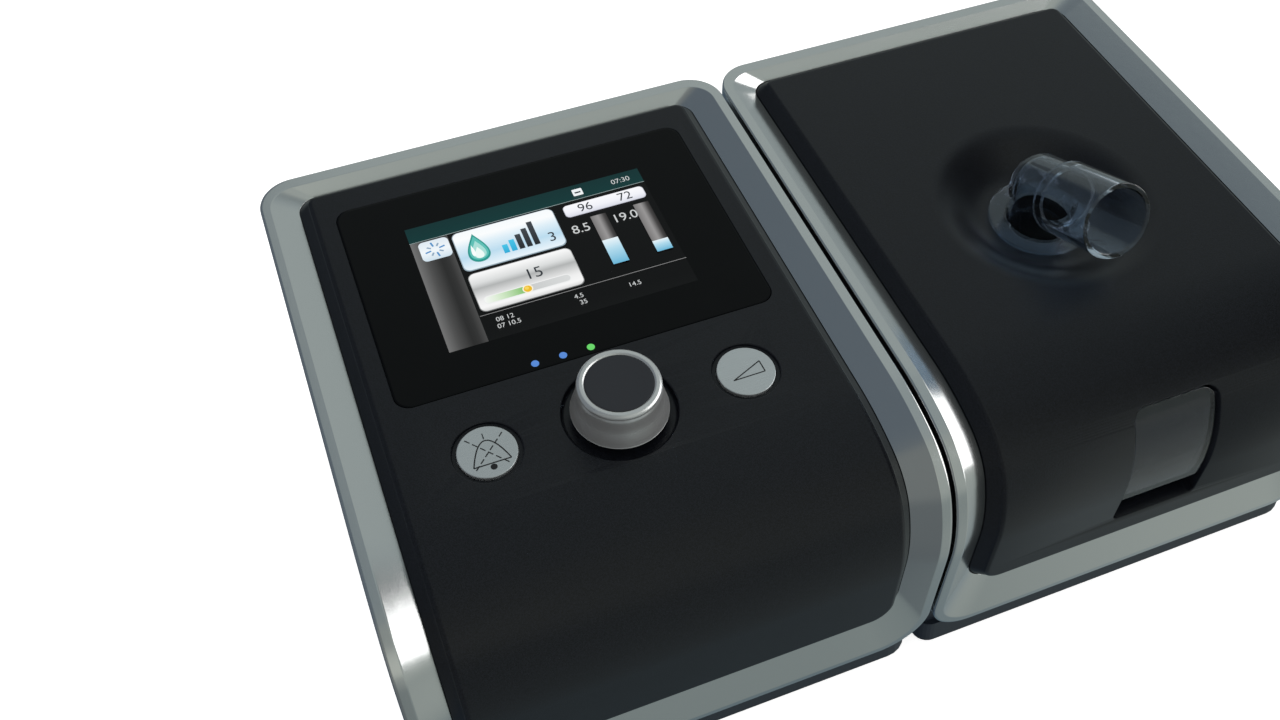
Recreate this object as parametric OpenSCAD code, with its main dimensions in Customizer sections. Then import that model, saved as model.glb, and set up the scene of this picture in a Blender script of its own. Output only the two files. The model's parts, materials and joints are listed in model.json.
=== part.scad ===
// Positive airway pressure machine with a docked heated humidifier.
// Both modules share one side profile: a flat deck that slopes down to the front,
// a rounded nose and a front face that runs back to a low base.
// Deck frame: u to the right, v back along the deck, w up out of the deck,
// measured from the centre of the knob on the deck's surface.

/* [Modules] */
// Width of the main unit
main_w = 150; // [146:1:156]
// Width of the humidifier
humid_w = 139.4; // [134:0.2:150]
// Gap between the two docked modules
module_gap = 1.2; // [0.8:0.1:2]
// Length of the deck behind the knob
back_v = 117.5; // [116:0.5:122]
// How far the rear foot of the body lies behind the knob
rear_y = 131.8; // [128:0.2:136]
// Height of the deck at the knob
deck_z = 98.75; // [97:0.25:104]
// Slope of the deck down to the front, in degrees
tilt = 9.5; // [8:0.25:11]

/* [Nose] */
// How far in front of the knob the deck starts to bend
nose_reach = 13; // [11:0.5:15]
// Radius of the first bend
nose_r1 = 75; // [70:1:85]
// Slope where the first bend ends, in degrees
nose_a1 = 17; // [15:0.5:19]
// Radius of the tight bend
nose_r2 = 24; // [22:0.5:27]
// Slope where the tight bend ends, in degrees
nose_a2 = 62; // [58:0.5:66]
// Radius of the last bend
nose_r3 = 52; // [48:1:56]
// Slope of the front face, in degrees
nose_a3 = 87.5; // [86:0.25:89]
// Length of the straight front face of the frames
front_len = 43; // [40:0.2:45]

/* [Frames] */
// Thickness of the silver frames
frame_t = 4.5; // [4.2:0.1:5]
// Width of the flat outer ring at the sides
ring_side = 3.2; // [2.5:0.1:4]
// Width of the flat outer ring at the back
ring_back = 4.1; // [3:0.1:5]
// Width of the flat outer ring at the front
ring_front = 2.6; // [2:0.1:4]
// Width of the sloping band at the sides
band_side = 7.6; // [6:0.1:8.5]
// Width of the sloping band at the back
band_back = 3; // [2.5:0.1:4]
// Width of the sloping band at the front
band_front = 15.8; // [12:0.1:17]
// Depth of the sloping band at its inner edge
band_depth = 3.6; // [3:0.1:3.9]
// Corner radius of the frames at the back
corner_back = 11; // [10:0.5:13]
// Corner radius of the frames at the front
corner_front = 15; // [14:0.5:18]
// Small bevel along the frames' outer edge
frame_edge = 0.6; // [0.3:0.1:0.8]

/* [Panels] */
// Width of the bevel round the black panels
panel_bevel = 4; // [3.2:0.1:4.5]
// Gap between the fascia and its frame
panel_gap = 0.15; // [0.1:0.05:0.3]
// Gap between the humidifier's lid and its frame
lid_gap = 0.35; // [0.3:0.05:0.5]

/* [Case] */
// Thickness of the case walls
wall = 2.4; // [2:0.1:2.8]
// Height of the base's rim above the table
base_top = 11; // [10.4:0.2:12]
// How far the base's toe stands out in front of its rim
base_toe = 1.8; // [0.5:0.1:2.2]
// Height of the toe above the table
toe_top = 9.2; // [8:0.1:9.4]
// Thickness of the base's floor
floor_t = 2.5; // [2:0.1:3]
// Height of the feet below the base
foot_h = 0.8; // [0.6:0.1:1.5]
// Radius of the rubber feet
foot_r = 7; // [5:0.5:9]
// Corner radius of the bases at the front
base_corner = 9; // [6:0.5:10]
// How far the case and base stand in from the frame's edge
case_inset = 0.4; // [0.3:0.1:1]

/* [Screen] */
// Width of the glossy lens
lens_w = 109.3; // [106:0.1:112]
// Length of the lens along the deck
lens_l = 77.1; // [74:0.1:79]
// Distance from the knob to the lens's lower edge
lens_v = 20.5; // [20:0.1:22]
// Thickness of the lens
lens_t = 1.8; // [1.2:0.1:2]
// Corner radius of the lens
lens_r = 4.5; // [3:0.5:6]
// Width of the picture that the display shows
view_w = 73.4; // [70:0.1:76]
// Length of the picture that the display shows
view_l = 49; // [46:0.1:52]
// Distance from the knob to the picture's middle
view_v = 59.05; // [57:0.1:60]
// Thickness of the display module
display_t = 3.3; // [2.5:0.1:3.6]

/* [Controls] */
// Distance from the knob to either button
button_u = 36.3; // [35:0.1:38]
// Radius of the button's disc
button_r = 8; // [7:0.1:8.6]
// Travel of the buttons
button_travel = 1; // [0.6:0.1:1]
// Radius of the knob's foot
knob_r = 13.2; // [12.5:0.1:14.5]
// Radius of the knob's rim
knob_top_r = 11; // [10.5:0.1:11.6]
// Height of the knob above the deck
knob_h = 12.4; // [11:0.1:14]
// Radius of the dark disc in the knob
knob_cap_r = 9; // [8:0.1:9.4]
// Travel of the knob when it is pressed
knob_travel = 0.6; // [0.4:0.1:0.7]
// Radius of the encoder's shaft
shaft_r = 3; // [2.8:0.1:3.1]
// Radius of the small indicator lights
light_r = 1.1; // [0.9:0.1:1.3]

/* [Air path] */
// Outer radius of the air connectors
conn_r = 11; // [10.6:0.1:11.4]
// Radial clearance of fits that turn or slide
run_gap = 0.05; // [0.02:0.01:0.08]
// Reach of the main unit's outlet past its side
spigot_l = 20; // [16:1:21]
// Height of the outlet's axis
spigot_z = 45; // [43:1:48]
// Distance from the knob back to the outlet's axis
spigot_y = 70; // [66:1:74]
// Radius of the blower housing
blower_r = 34; // [30:0.5:35]
// Radius of the impeller
impeller_r = 28; // [24:0.5:28.5]

/* [Humidifier] */
// Distance from the knob line to the elbow's axis
elbow_v = 26.2; // [24:0.2:28]
// Radius of the dish in the lid
dish_r = 34.3; // [32:0.1:36]
// Depth of the dish
dish_depth = 7.4; // [6.5:0.1:8]
// Radius of the elbow's flange
flange_r = 15.2; // [14:0.1:15.8]
// Thickness of the elbow's flange
flange_t = 1.5; // [1.2:0.1:2]
// Height above the deck where the elbow's two axes cross
elbow_h = 5.1; // [4.5:0.1:6]
// Rise of the elbow's tube above the deck, in degrees
elbow_rise = 25.7; // [22:0.1:30]
// Length of the elbow's tube from its upright axis
elbow_l = 31.2; // [30:0.1:34]
// Length of the elbow's outer sleeve
sleeve_l = 23.5; // [21:0.1:24.5]
// Wall of the elbow
elbow_wall = 1.6; // [1.2:0.1:2]
// Half width of the cut-out for the water window
window_u = 14; // [12:0.5:15]
// Start of the water window, measured round the nose from the deck's back
window_t = 163.5; // [160:0.5:165]
// Length of the water window round the nose
window_l = 35; // [32:0.5:37]
// Height of the finger gap below the water window
finger_gap = 8; // [7:0.5:10]
// Distance from the knob line back to the lid's hinge
hinge_v = 104; // [103:0.5:105]
// Depth of the lid's hinge below the deck
hinge_d = 2.4; // [2.3:0.1:2.6]
// Wall of the water tub
tub_wall = 2.2; // [1.8:0.1:3]
// Depth of the tub's rim below the deck
tub_rim_d = 14; // [13.5:0.5:18]
// Radius of the heater plate
heater_r = 45; // [40:1:48]

/* [Hidden] */

$fn = 64;
corner_n = 6;
eps = 0.01;
side_gap = 0.3;
total_w = main_w + module_gap + humid_w;
main_x = (main_w - total_w) / 2;
humid_x = (total_w - humid_w) / 2;

// --- Side profile ---------------------------------------------------------
nose_r = [nose_r1, nose_r2, nose_r3];
nose_a = [0, nose_a1, nose_a2, nose_a3];
arc_n = [4, 9, 5];
deck_len = back_v + nose_reach;

function arc_centre(i) = i == 0 ? [-nose_reach, -nose_r[0]]
    : arc_centre(i - 1) + (nose_r[i - 1] - nose_r[i]) * [-sin(nose_a[i]), cos(nose_a[i])];
function arc_len(i) = nose_r[i] * (nose_a[i + 1] - nose_a[i]) * PI / 180;
arc_t1 = deck_len + arc_len(0);
arc_t2 = arc_t1 + arc_len(1);
arc_t3 = arc_t2 + arc_len(2);
arc_start = [deck_len, arc_t1, arc_t2];
front_t = arc_t3 + front_len;

function on_arc(i, t, d) = let (a = nose_a[i] + (t - arc_start[i]) / nose_r[i] * 180 / PI)
    arc_centre(i) + (nose_r[i] - d) * [-sin(a), cos(a)];
// Point [v, w] at length t round the profile from the deck's back edge, at depth d.
function surf(t, d) = t <= deck_len ? [back_v - t, -d]
    : t < arc_t1 ? on_arc(0, t, d)
    : t < arc_t2 ? on_arc(1, t, d)
    : t < arc_t3 ? on_arc(2, t, d)
    : on_arc(2, arc_t3, d) - (t - arc_t3) * [cos(nose_a3), sin(nose_a3)];
nose_ts = concat(
    [for (i = [0:2], k = [0:arc_n[i] - 1]) arc_start[i] + arc_len(i) * k / arc_n[i]], [arc_t3]);
function ts_between(t0, t1) = [for (t = nose_ts) if (t > t0 && t < t1) t];

// Deck frame to [y, z] over the table, with y measured from the knob, and back.
function yz(p) = [p[0] * cos(tilt) - p[1] * sin(tilt), p[0] * sin(tilt) + p[1] * cos(tilt) + deck_z];
function vw(p) = [p[0] * cos(tilt) + (p[1] - deck_z) * sin(tilt),
                  (p[1] - deck_z) * cos(tilt) - p[0] * sin(tilt)];
rear_foot = vw([rear_y, 0]);
// The rear wall leans by this angle.
rear_top = yz([back_v, 0]);
rear_lean = atan((rear_y - rear_top[0]) / rear_top[1]);
function rear_v(d) = back_v + (rear_foot[0] - back_v) * d / -rear_foot[1];
function rear_y_at(z) = rear_y - z * tan(rear_lean);
// y of the front face's line at depth d and height z
function front_y(d, z) = let (a = yz(surf(arc_t3, d)), b = yz(surf(front_t, d)))
    a[0] + (b[0] - a[0]) * (z - a[1]) / (b[1] - a[1]);

nose_ys = [for (t = nose_ts) yz(surf(t, 0))[0]];
knob_y = -(min(nose_ys) + rear_y) / 2;

// --- Outlines and wrapped solids ------------------------------------------
function arc_pts(c, r, a0, n = corner_n) = [for (k = [0:n]) let (f = a0 + 90 * k / n)
    c + r * [cos(f), sin(f)]];
function rounded_rect(x0, y0, x1, y1, r) = concat(
    arc_pts([x0 + r[0], y0 + r[0]], r[0], 180), arc_pts([x1 - r[1], y0 + r[1]], r[1], 270),
    arc_pts([x1 - r[2], y1 - r[2]], r[2], 0), arc_pts([x0 + r[3], y1 - r[3]], r[3], 90));

// Half of a loop [u, t] with half width a between t0 and t1, from the back to the front.
function half_loop(s, ts) = let (a = s[0], t0 = s[1], t1 = s[2], rb = s[3], rf = s[4]) concat(
    [for (k = [0:corner_n]) let (f = 90 - 90 * k / corner_n)
        [a - rb + rb * cos(f), t0 + rb - rb * sin(f)]],
    [for (t = ts) [a, t]],
    [for (k = [0:corner_n]) let (f = 90 * k / corner_n)
        [a - rf + rf * cos(f), t1 - rf + rf * sin(f)]]);
// A section is [half width, t0, t1, back radius, front radius, depth].
function wrapped_loop(s, ts) = let (h = half_loop(s, ts), n = len(h)) concat(
    [for (q = h) let (p = surf(q[1], s[5])) [q[0], p[0], p[1]]],
    [for (i = [n - 1:-1:0]) let (p = surf(h[i][1], s[5])) [-h[i][0], p[0], p[1]]]);
function band_faces(n, j, k) = [for (i = [0:n - 1], f = [0, 1]) let (m = (i + 1) % n)
    f == 0 ? [j * n + i, j * n + m, k * n + m] : [j * n + i, k * n + m, k * n + i]];
function cap_faces(n, base, up) = [for (i = [0:n / 2 - 2], f = [0, 1]) let (
    a = base + i, b = base + i + 1, c = base + n - 2 - i, e = base + n - 1 - i)
    f == 0 ? (up ? [a, b, c] : [a, c, b]) : (up ? [a, c, e] : [a, e, c])];

// Closed ring whose cross-section passes through the sections in order.
module wrapped_ring(sections, ts) {
    n = len(wrapped_loop(sections[0], ts));
    m = len(sections);
    polyhedron(points = [for (s = sections) each wrapped_loop(s, ts)],
               faces = [for (j = [0:m - 1]) each band_faces(n, j, (j + 1) % m)]);
}

// Plate whose edge passes through the sections from the underside up.
module wrapped_plate(sections, ts) {
    n = len(wrapped_loop(sections[0], ts));
    m = len(sections);
    polyhedron(points = [for (s = sections) each wrapped_loop(s, ts)],
               faces = concat([for (j = [0:m - 2]) each band_faces(n, j, j + 1)],
                              cap_faces(n, 0, false), cap_faces(n, (m - 1) * n, true)));
}

module side_prism(points, width) {
    rotate([90, 0, 90]) translate([0, 0, -width / 2]) linear_extrude(width) polygon(points);
}

module on_main() { translate([main_x, knob_y, 0]) children(); }
module on_humid() { translate([humid_x, knob_y, 0]) children(); }
module on_deck() { translate([0, 0, deck_z]) rotate([tilt, 0, 0]) children(); }
// On the rear wall at x and height z: local y points out of the wall.
module on_rear(x, z) { translate([x, rear_y_at(z), z]) rotate([rear_lean, 0, 0]) children(); }
module box(x0, x1, y0, y1, z0, z1) { translate([x0, y0, z0]) cube([x1 - x0, y1 - y0, z1 - z0]); }
module post(x, y, z0, z1, r) { translate([x, y, z0]) cylinder(h = z1 - z0, r = r); }
module tube_x(x0, x1, r, bore) {
    rotate([0, 90, 0]) translate([0, 0, x0]) difference() {
        cylinder(h = x1 - x0, r = r);
        translate([0, 0, -eps]) cylinder(h = x1 - x0 + 2 * eps, r = bore);
    }
}

// --- Frames ---------------------------------------------------------------
inner_back = ring_back + band_back;
inner_front = front_t - ring_front - band_front;
inner_side = ring_side + band_side;
inner_r_back = 6;
inner_r_front = 10;

module frame(w) {
    a = w / 2;
    e = frame_edge;
    t1 = front_t;
    on_deck() wrapped_ring([
        [a, 0, t1, corner_back, corner_front, frame_t],
        [a, 0, t1, corner_back, corner_front, e],
        [a - e, e, t1 - e, corner_back - e, corner_front - e, 0],
        [a - ring_side, ring_back, t1 - ring_front, corner_back - ring_side, corner_front - ring_front, 0],
        [a - inner_side, inner_back, inner_front, inner_r_back, inner_r_front, band_depth],
        [a - inner_side, inner_back, inner_front, inner_r_back, inner_r_front, frame_t]
    ], nose_ts);
}

// Black plate that fills a frame with the given gap all round, down to the given depth.
panel_lip = 1.2;
panel_lip_d = 0.9;
module panel_plate(w, gap, underside) {
    a = w / 2 - inner_side - gap;
    t0 = inner_back + gap;
    t1 = inner_front - gap;
    rb = inner_r_back - gap;
    rf = inner_r_front - gap;
    b = panel_bevel - panel_lip;
    c = panel_bevel;
    on_deck() wrapped_plate([
        [a, t0, t1, rb, rf, underside],
        [a, t0, t1, rb, rf, band_depth],
        [a - b, t0 + b, t1 - b, rb - b, rf - b, panel_lip_d],
        [a - b - 0.3, t0 + b + 0.3, t1 - b - 0.3, rb - b - 0.3, rf - b - 0.3, panel_lip_d / 2],
        [a - c, t0 + c, t1 - c, rb - c, rf - c, 0]
    ], nose_ts);
}

module main_frame() { color("silver") on_main() frame(main_w); }
module humidifier_frame() { color("silver") on_humid() frame(humid_w); }

// --- Cases and bases ------------------------------------------------------
function case_profile(d, t, z0) = concat([yz([rear_v(d) - t, -d])],
    [for (s = nose_ts) yz(surf(s, d))], [[front_y(d, z0), z0]], [[rear_y_at(z0) - t, z0]]);
base_front = front_y(frame_t, base_top) + 0.3;
// How far the prism reaches past the case at the front, at the foot and at the top.
prism_spare = 20;
// The prism stands this far behind the rear wall's plane.
prism_shift = 0.06;
inner_d = frame_t + wall;

// Rounds the back corners, and leans with the rear wall so that they stay round up to the deck.
module leaning_prism(w, inset) {
    a = w / 2 - case_inset - inset;
    back_r = corner_back - inset;
    translate([0, rear_y - inset + prism_shift, 0]) rotate([rear_lean, 0, 0]) translate([0, 0, -prism_spare])
        linear_extrude(rear_top[1] + 2 * prism_spare)
            polygon(rounded_rect(-a, base_front - rear_y - prism_spare, a, 0, [1, 1, back_r, back_r]));
}

module base_plan(w, inset, dock_left, z0, z1, toe = 0) {
    a = w / 2 - case_inset - inset;
    r = [dock_left ? base_corner / 2 : base_corner, base_corner, corner_back, corner_back];
    translate([0, 0, z0]) linear_extrude(z1 - z0)
        polygon(rounded_rect(-a, base_front + inset - toe, a, rear_y_at(0) - inset, [for (v = r) v - inset]));
}

// Hollow case, open at the bottom, with a deck plate under the frame and panel.
module case_shell(w) {
    difference() {
        intersection() {
            side_prism(case_profile(frame_t, 0, base_top), w);
            leaning_prism(w, 0);
        }
        intersection() {
            side_prism(case_profile(inner_d, wall, base_top - 1), w - 2 * case_inset - 2 * wall);
            leaning_prism(w, wall);
        }
    }
}

screw_x = 4.4;
screw_front = base_front + wall + 5;
screw_back = rear_y_at(base_top) - wall - 7;
screw_shank = 1.5;
boss_r = 4.4;
boss_h = 15;
module screw_places(w) {
    for (x = [-1, 1], y = [screw_front, screw_back])
        translate([x * (w / 2 - case_inset - wall - screw_x + 0.6), y, 0]) children();
}

foot_in = 14;
module foot_places(w) {
    for (x = [-1, 1], y = [base_front + foot_in, rear_y_at(0) - foot_in - 4])
        translate([x * (w / 2 - foot_in - 4), y, 0]) children();
}

floor_z = foot_h + floor_t;
foot_pocket = 1.2;
head_r = 3;
head_h = 1.6;
module base_tray(w, dock_left) {
    difference() {
        union() {
            difference() {
                base_plan(w, 0, dock_left, foot_h, base_top, base_toe);
                base_plan(w, wall, dock_left, floor_z, base_top + 1);
                box(-w, w, base_front - 20, base_front, toe_top, base_top + 1);
            }
            intersection() {
                screw_places(w) post(0, 0, floor_z - eps, base_top, boss_r);
                base_plan(w, wall / 2, dock_left, 0, base_top);
            }
        }
        screw_places(w) post(0, 0, 0, base_top + 1, screw_shank + 0.15);
        screw_places(w) post(0, 0, 0, foot_h + head_h, head_r + 0.1);
        foot_places(w) post(0, 0, 0, foot_h + foot_pocket, foot_r + 0.05);
    }
}

module case_bosses(w) {
    difference() {
        intersection() {
            screw_places(w) post(0, 0, base_top, base_top + boss_h, boss_r);
            side_prism(case_profile(frame_t + wall / 2, wall / 2, 0), w - 2 * case_inset - wall);
            leaning_prism(w, wall / 2);
        }
        screw_places(w) post(0, 0, base_top - 1, base_top + boss_h - 3, screw_shank);
    }
}

module case_screws(w) {
    screw_places(w) {
        post(0, 0, foot_h + head_h - 1.4, foot_h + head_h, head_r);
        post(0, 0, foot_h + head_h - eps, base_top + boss_h - 5, screw_shank);
    }
}

module rubber_feet(w) { foot_places(w) post(0, 0, 0, foot_h + foot_pocket, foot_r); }

// Openings in the main case.
display_back = frame_t + display_t;
board_d = max(inner_d + 0.9, display_back);
board_t = 1.6;
display_w = 85;
display_l = 56;
display_gap = 0.3;
switch_hole_r = button_r + 2;
encoder_w = 12.4;
encoder_l = 13.2;
filter_w = 44;
filter_h = 34;
filter_x = -main_w / 4;
filter_z = 62;
jack_w = 14;
jack_h = 11;
jack_l = 13;
jack_x = main_w / 4 + 8;
jack_z = base_top + 12;
card_w = 24;
card_l = 32;
card_t = 2.1;
card_z = 40;
card_gap = 0.25;
contact_y = 26;
contact_z = 24;
contact_w = 26;
contact_h = 9;
spigot_bore = conn_r - 1.8;

module main_case() {
    color([0.15, 0.18, 0.22]) on_main() difference() {
        union() {
            case_shell(main_w);
            case_bosses(main_w);
            on_deck() board_posts(inner_d - eps, board_d);
        }
        on_deck() {
            box(-display_w / 2 - display_gap, display_w / 2 + display_gap,
                view_v - display_l / 2 - display_gap, view_v + display_l / 2 + display_gap,
                -inner_d - 5, -frame_t + 1);
            for (s = [-1, 1]) post(s * button_u, 0, -inner_d - 5, -frame_t + 1, switch_hole_r);
            box(-encoder_w / 2 - 0.4, encoder_w / 2 + 0.4, -encoder_l / 2 - 0.4, encoder_l / 2 + 0.4,
                -inner_d - 5, -frame_t + 1);
            for (i = [0:2]) post(light_u(i), light_v, -inner_d - 5, -frame_t + 1, light_r + 1.6);
            board_screw_places() post(0, 0, -board_d - 1, -frame_t - 0.6, 0.9);
        }
        on_rear(filter_x, filter_z)
            box(-filter_w / 2, filter_w / 2, -wall - 3, 3, -filter_h / 2, filter_h / 2);
        on_rear(jack_x, jack_z) box(-jack_w / 2, jack_w / 2, -wall - 3, 3, -jack_h / 2, jack_h / 2);
        translate([0, spigot_y, spigot_z]) rotate([0, 90, 0]) cylinder(h = main_w, r = conn_r);
        box(-main_w, -main_w / 2 + wall + 3, card_y - card_w / 2 - card_gap, card_y + card_w / 2 + card_gap,
            card_z - card_t / 2 - card_gap, card_z + card_t / 2 + card_gap);
        box(main_w / 2 - wall - 3, main_w, contact_y - contact_w / 2, contact_y + contact_w / 2,
            contact_z - contact_h / 2, contact_z + contact_h / 2);
    }
}

module main_base() {
    color([0.15, 0.18, 0.22]) on_main() union() {
        base_tray(main_w, false);
        board_feet() post(0, 0, floor_z - eps, main_board_z, 3);
    }
}

module main_feet() { color("black") on_main() rubber_feet(main_w); }
module main_screws() { color("silver") on_main() case_screws(main_w); }

// --- Fascia, screen and controls ------------------------------------------
light_v = lens_v + light_r + 1.1;
function light_u(i) = 8 * i - 16;
recess_r = knob_r + 1.7;
recess_d = 2;
ring_gap = 1.3;
flange_d = button_r * 0.4;
lens_gap = 0.1;

module fascia_panel() {
    color([0.1, 0.11, 0.13]) on_main() difference() {
        panel_plate(main_w, panel_gap, frame_t);
        on_deck() {
            translate([0, 0, -lens_t]) linear_extrude(lens_t + 1) polygon(rounded_rect(
                -lens_w / 2 - lens_gap, lens_v - lens_gap, lens_w / 2 + lens_gap,
                lens_v + lens_l + lens_gap, lens_r * [1, 1, 1, 1]));
            box(-view_w / 2 - 1, view_w / 2 + 1, view_v - view_l / 2 - 1, view_v + view_l / 2 + 1,
                -frame_t - 1, 0);
            post(0, 0, -recess_d, 1, recess_r);
            post(0, 0, -frame_t - 1, 0, bushing_r + 0.2);
            for (s = [-1, 1]) {
                post(s * button_u, 0, -1, 1, button_r + ring_gap);
                post(s * button_u, 0, -frame_t - 1, 0, button_r + 0.2);
                post(s * button_u, 0, -frame_t - 1, -flange_d + 0.2, button_r + 1.5);
            }
            for (i = [0:2]) post(light_u(i), light_v, -frame_t - 1, 0, light_r + 0.05);
        }
    }
}

module screen_lens() {
    color([0.06, 0.07, 0.08]) on_main() on_deck() translate([0, 0, -lens_t]) linear_extrude(lens_t)
        polygon(rounded_rect(-lens_w / 2, lens_v, lens_w / 2, lens_v + lens_l, lens_r * [1, 1, 1, 1]));
}

module display_module() {
    color([0.1, 0.3, 0.35]) on_main() on_deck() box(-display_w / 2, display_w / 2, view_v - display_l / 2,
        view_v + display_l / 2, -frame_t - display_t, -frame_t);
}

// The board lies under the deck plate and carries the display, the switches and the encoder.
board_u = 60;
board_v0 = -20;
board_v1 = lens_v + lens_l - 2;
module board_screw_places() {
    for (u = [-board_u + 5, board_u - 5], v = [board_v0 + 5, board_v1 - 5]) translate([u, v, 0]) children();
}
module board_posts(d0, d1) { board_screw_places() post(0, 0, -d1, -d0, 2.6); }

module ui_board() {
    color("darkgreen") on_main() on_deck() difference() {
        union() {
            box(-board_u, board_u, board_v0, board_v1, -board_d - board_t, -board_d);
            if (board_d > display_back)
                box(-display_w / 3, display_w / 3, view_v - display_l / 3, view_v + display_l / 3,
                    -board_d - eps, -display_back);
        }
        board_screw_places() post(0, 0, -board_d - 5, 0, 1.1);
    }
}

module ui_screws() {
    color("silver") on_main() on_deck() board_screw_places() {
        post(0, 0, -board_d - board_t - 1.2, -board_d - board_t, 2);
        post(0, 0, -board_d - board_t - eps, -frame_t - 1.2, 0.9);
    }
}

// The button's stem runs into a well in the switch.
stem_r = 1.75;
stem_end = flange_d + 0.8 + 2.4;
switch_top = flange_d + 0.8 + button_travel + 0.3;
module tact_switches() {
    color("dimgray") on_main() on_deck() for (s = [-1, 1]) difference() {
        box(s * button_u - 3.2, s * button_u + 3.2, -3.2, 3.2, -board_d, -switch_top);
        post(s * button_u, 0, -board_d + 0.1, 0, stem_r + run_gap);
    }
}

module push_button(s) {
    color("silver") on_main() on_deck() translate([s * button_u, 0, 0]) {
        post(0, 0, -flange_d - eps, 0, button_r);
        post(0, 0, -flange_d - 0.8, -flange_d, button_r + 1.2);
        post(0, 0, -min(stem_end, board_d - button_travel - 0.3), -flange_d - 0.8 + eps, stem_r);
    }
}
module mute_button() { push_button(-1); }
module ramp_button() { push_button(1); }

module indicator_lights() {
    color("skyblue") on_main() on_deck() for (i = [0:2]) {
        post(light_u(i), light_v, -board_d, -lens_t, light_r);
        post(light_u(i), light_v, -board_d, -frame_t - 0.1, light_r + 0.6);
    }
}

// Encoder with a click plunger under its shaft.
bushing_r = 4;
bushing_h = 1.4;
plunger_r = 1.6;
plunger_h = 2.2;
shaft_foot = board_d - 0.4 - plunger_h;
module encoder_body() {
    color("gray") on_main() on_deck() difference() {
        union() {
            box(-encoder_w / 2, encoder_w / 2, -encoder_l / 2, encoder_l / 2, -board_d, -frame_t - 0.2);
            post(0, 0, -frame_t - 0.2 - eps, bushing_h, bushing_r);
        }
        post(0, 0, -shaft_foot - knob_travel - 0.3, bushing_h + 1, shaft_r + run_gap);
        post(0, 0, -board_d + 0.1, 0, plunger_r + run_gap);
    }
}

module encoder_plunger() {
    color("white") on_main() on_deck()
        post(0, 0, -shaft_foot - plunger_h + knob_travel + 0.1, -shaft_foot, plunger_r);
}

module encoder_shaft() {
    color("lightgray") on_main() on_deck() post(0, 0, -shaft_foot, knob_h - 3, shaft_r);
}

cap_t = 1.4;
rim_r = 0.9;
knob_foot = 0.9;
module knob_shell() {
    color("silver") on_main() on_deck() difference() {
        rotate_extrude() polygon(concat(
            [[shaft_r, knob_foot], [knob_r - 0.5, knob_foot], [knob_r, knob_foot + 0.4],
             [knob_r - 0.3, knob_h * 0.12], [knob_r - 1.1, knob_h * 0.4], [knob_top_r + 0.5, knob_h * 0.75]],
            arc_pts([knob_top_r - rim_r, knob_h - rim_r], rim_r, 0, 4),
            [[knob_cap_r + run_gap, knob_h - 0.3], [knob_cap_r + run_gap, knob_h - 0.2 - cap_t],
             [shaft_r, knob_h - 0.2 - cap_t]]));
        post(0, 0, knob_foot - 1, bushing_h + knob_travel + 0.6, bushing_r + 0.4);
        difference() {
            post(0, 0, knob_foot - 1, knob_h - 3.6, knob_top_r - 1.8);
            post(0, 0, knob_foot - 2, knob_h, bushing_r + 2);
        }
    }
}

module knob_cap() {
    color([0.13, 0.14, 0.16]) on_main() on_deck() post(0, 0, knob_h - 0.2 - cap_t, knob_h - 0.2, knob_cap_r);
}

// --- Electronics and air path in the main unit -----------------------------
main_board_z = floor_z + 4.5;
pcb_in = 14;
pcb_x = main_w / 2 - pcb_in;
pcb_y0 = base_front + pcb_in + 2;
pcb_y1 = 28;
chip_w = 16;
chip_h = 1.4;
chip_x = -12;
coil_w = 6;
coil_l = 20;
coil_h = 7;
coil_x = 11;
can_r = 5;
can_h = 12;
can_step = 13;
can_x = -46;
buzzer_r = 6;
buzzer_h = 6;
module board_feet() {
    for (x = [-1, 1] * (pcb_x - boss_r - 2), y = [pcb_y0 + boss_r + 2, pcb_y1 - boss_r - 2])
        translate([x, y, 0]) children();
}

module main_board() {
    color("darkgreen") on_main() union() {
        box(-pcb_x, pcb_x, pcb_y0, pcb_y1, main_board_z, main_board_z + board_t);
        translate([0, 0, main_board_z + board_t]) {
            box(chip_x - chip_w / 2, chip_x + chip_w / 2, -chip_w / 2, chip_w / 2, -eps, chip_h);
            box(coil_x - coil_w / 2, coil_x + coil_w / 2, -coil_l + coil_w, coil_w, -eps, coil_h);
            for (i = [0:2]) post(can_x + can_step * i, pcb_y1 - can_step, -eps, can_h, can_r);
        }
    }
}

module buzzer() {
    color("black") on_main() difference() {
        translate([pcb_x - 2 * buzzer_r, buzzer_r, main_board_z + board_t]) {
            post(0, 0, 0, buzzer_h, buzzer_r);
            post(0, 0, buzzer_h - 1, buzzer_h + 1, buzzer_r / 5);
        }
    }
}

ribbon_y = -12;
ribbon_w = 20;
ribbon_x = 34;
module ribbon_cable() {
    top = yz([ribbon_y, -board_d - board_t])[1];
    color("orange") on_main() box(ribbon_x - ribbon_w / 2, ribbon_x + ribbon_w / 2,
        ribbon_y - 0.3, ribbon_y + 0.3, main_board_z + board_t, top - 0.4);
}

// Blower: a drum on its motor, with the impeller's shaft down through both.
motor_r = 19;
motor_h = 16;
mount_h = 9;
motor_z = floor_z + mount_h;
drum_z = motor_z + motor_h;
drum_h = 2 * (spigot_z - drum_z);
drum_wall = 2.2;
drum_top = drum_z + drum_h;
eye_r = 13;
spindle_r = 2;
blower_x = -6;
blower_y = spigot_y - (blower_r - drum_wall - conn_r);
spout_end = 28;
module at_blower() { on_main() translate([blower_x, blower_y, 0]) children(); }
module spout(x0, x1, r) {
    on_main() translate([x0, spigot_y, spigot_z]) rotate([0, 90, 0]) cylinder(h = x1 - x0, r = r);
}

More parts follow.
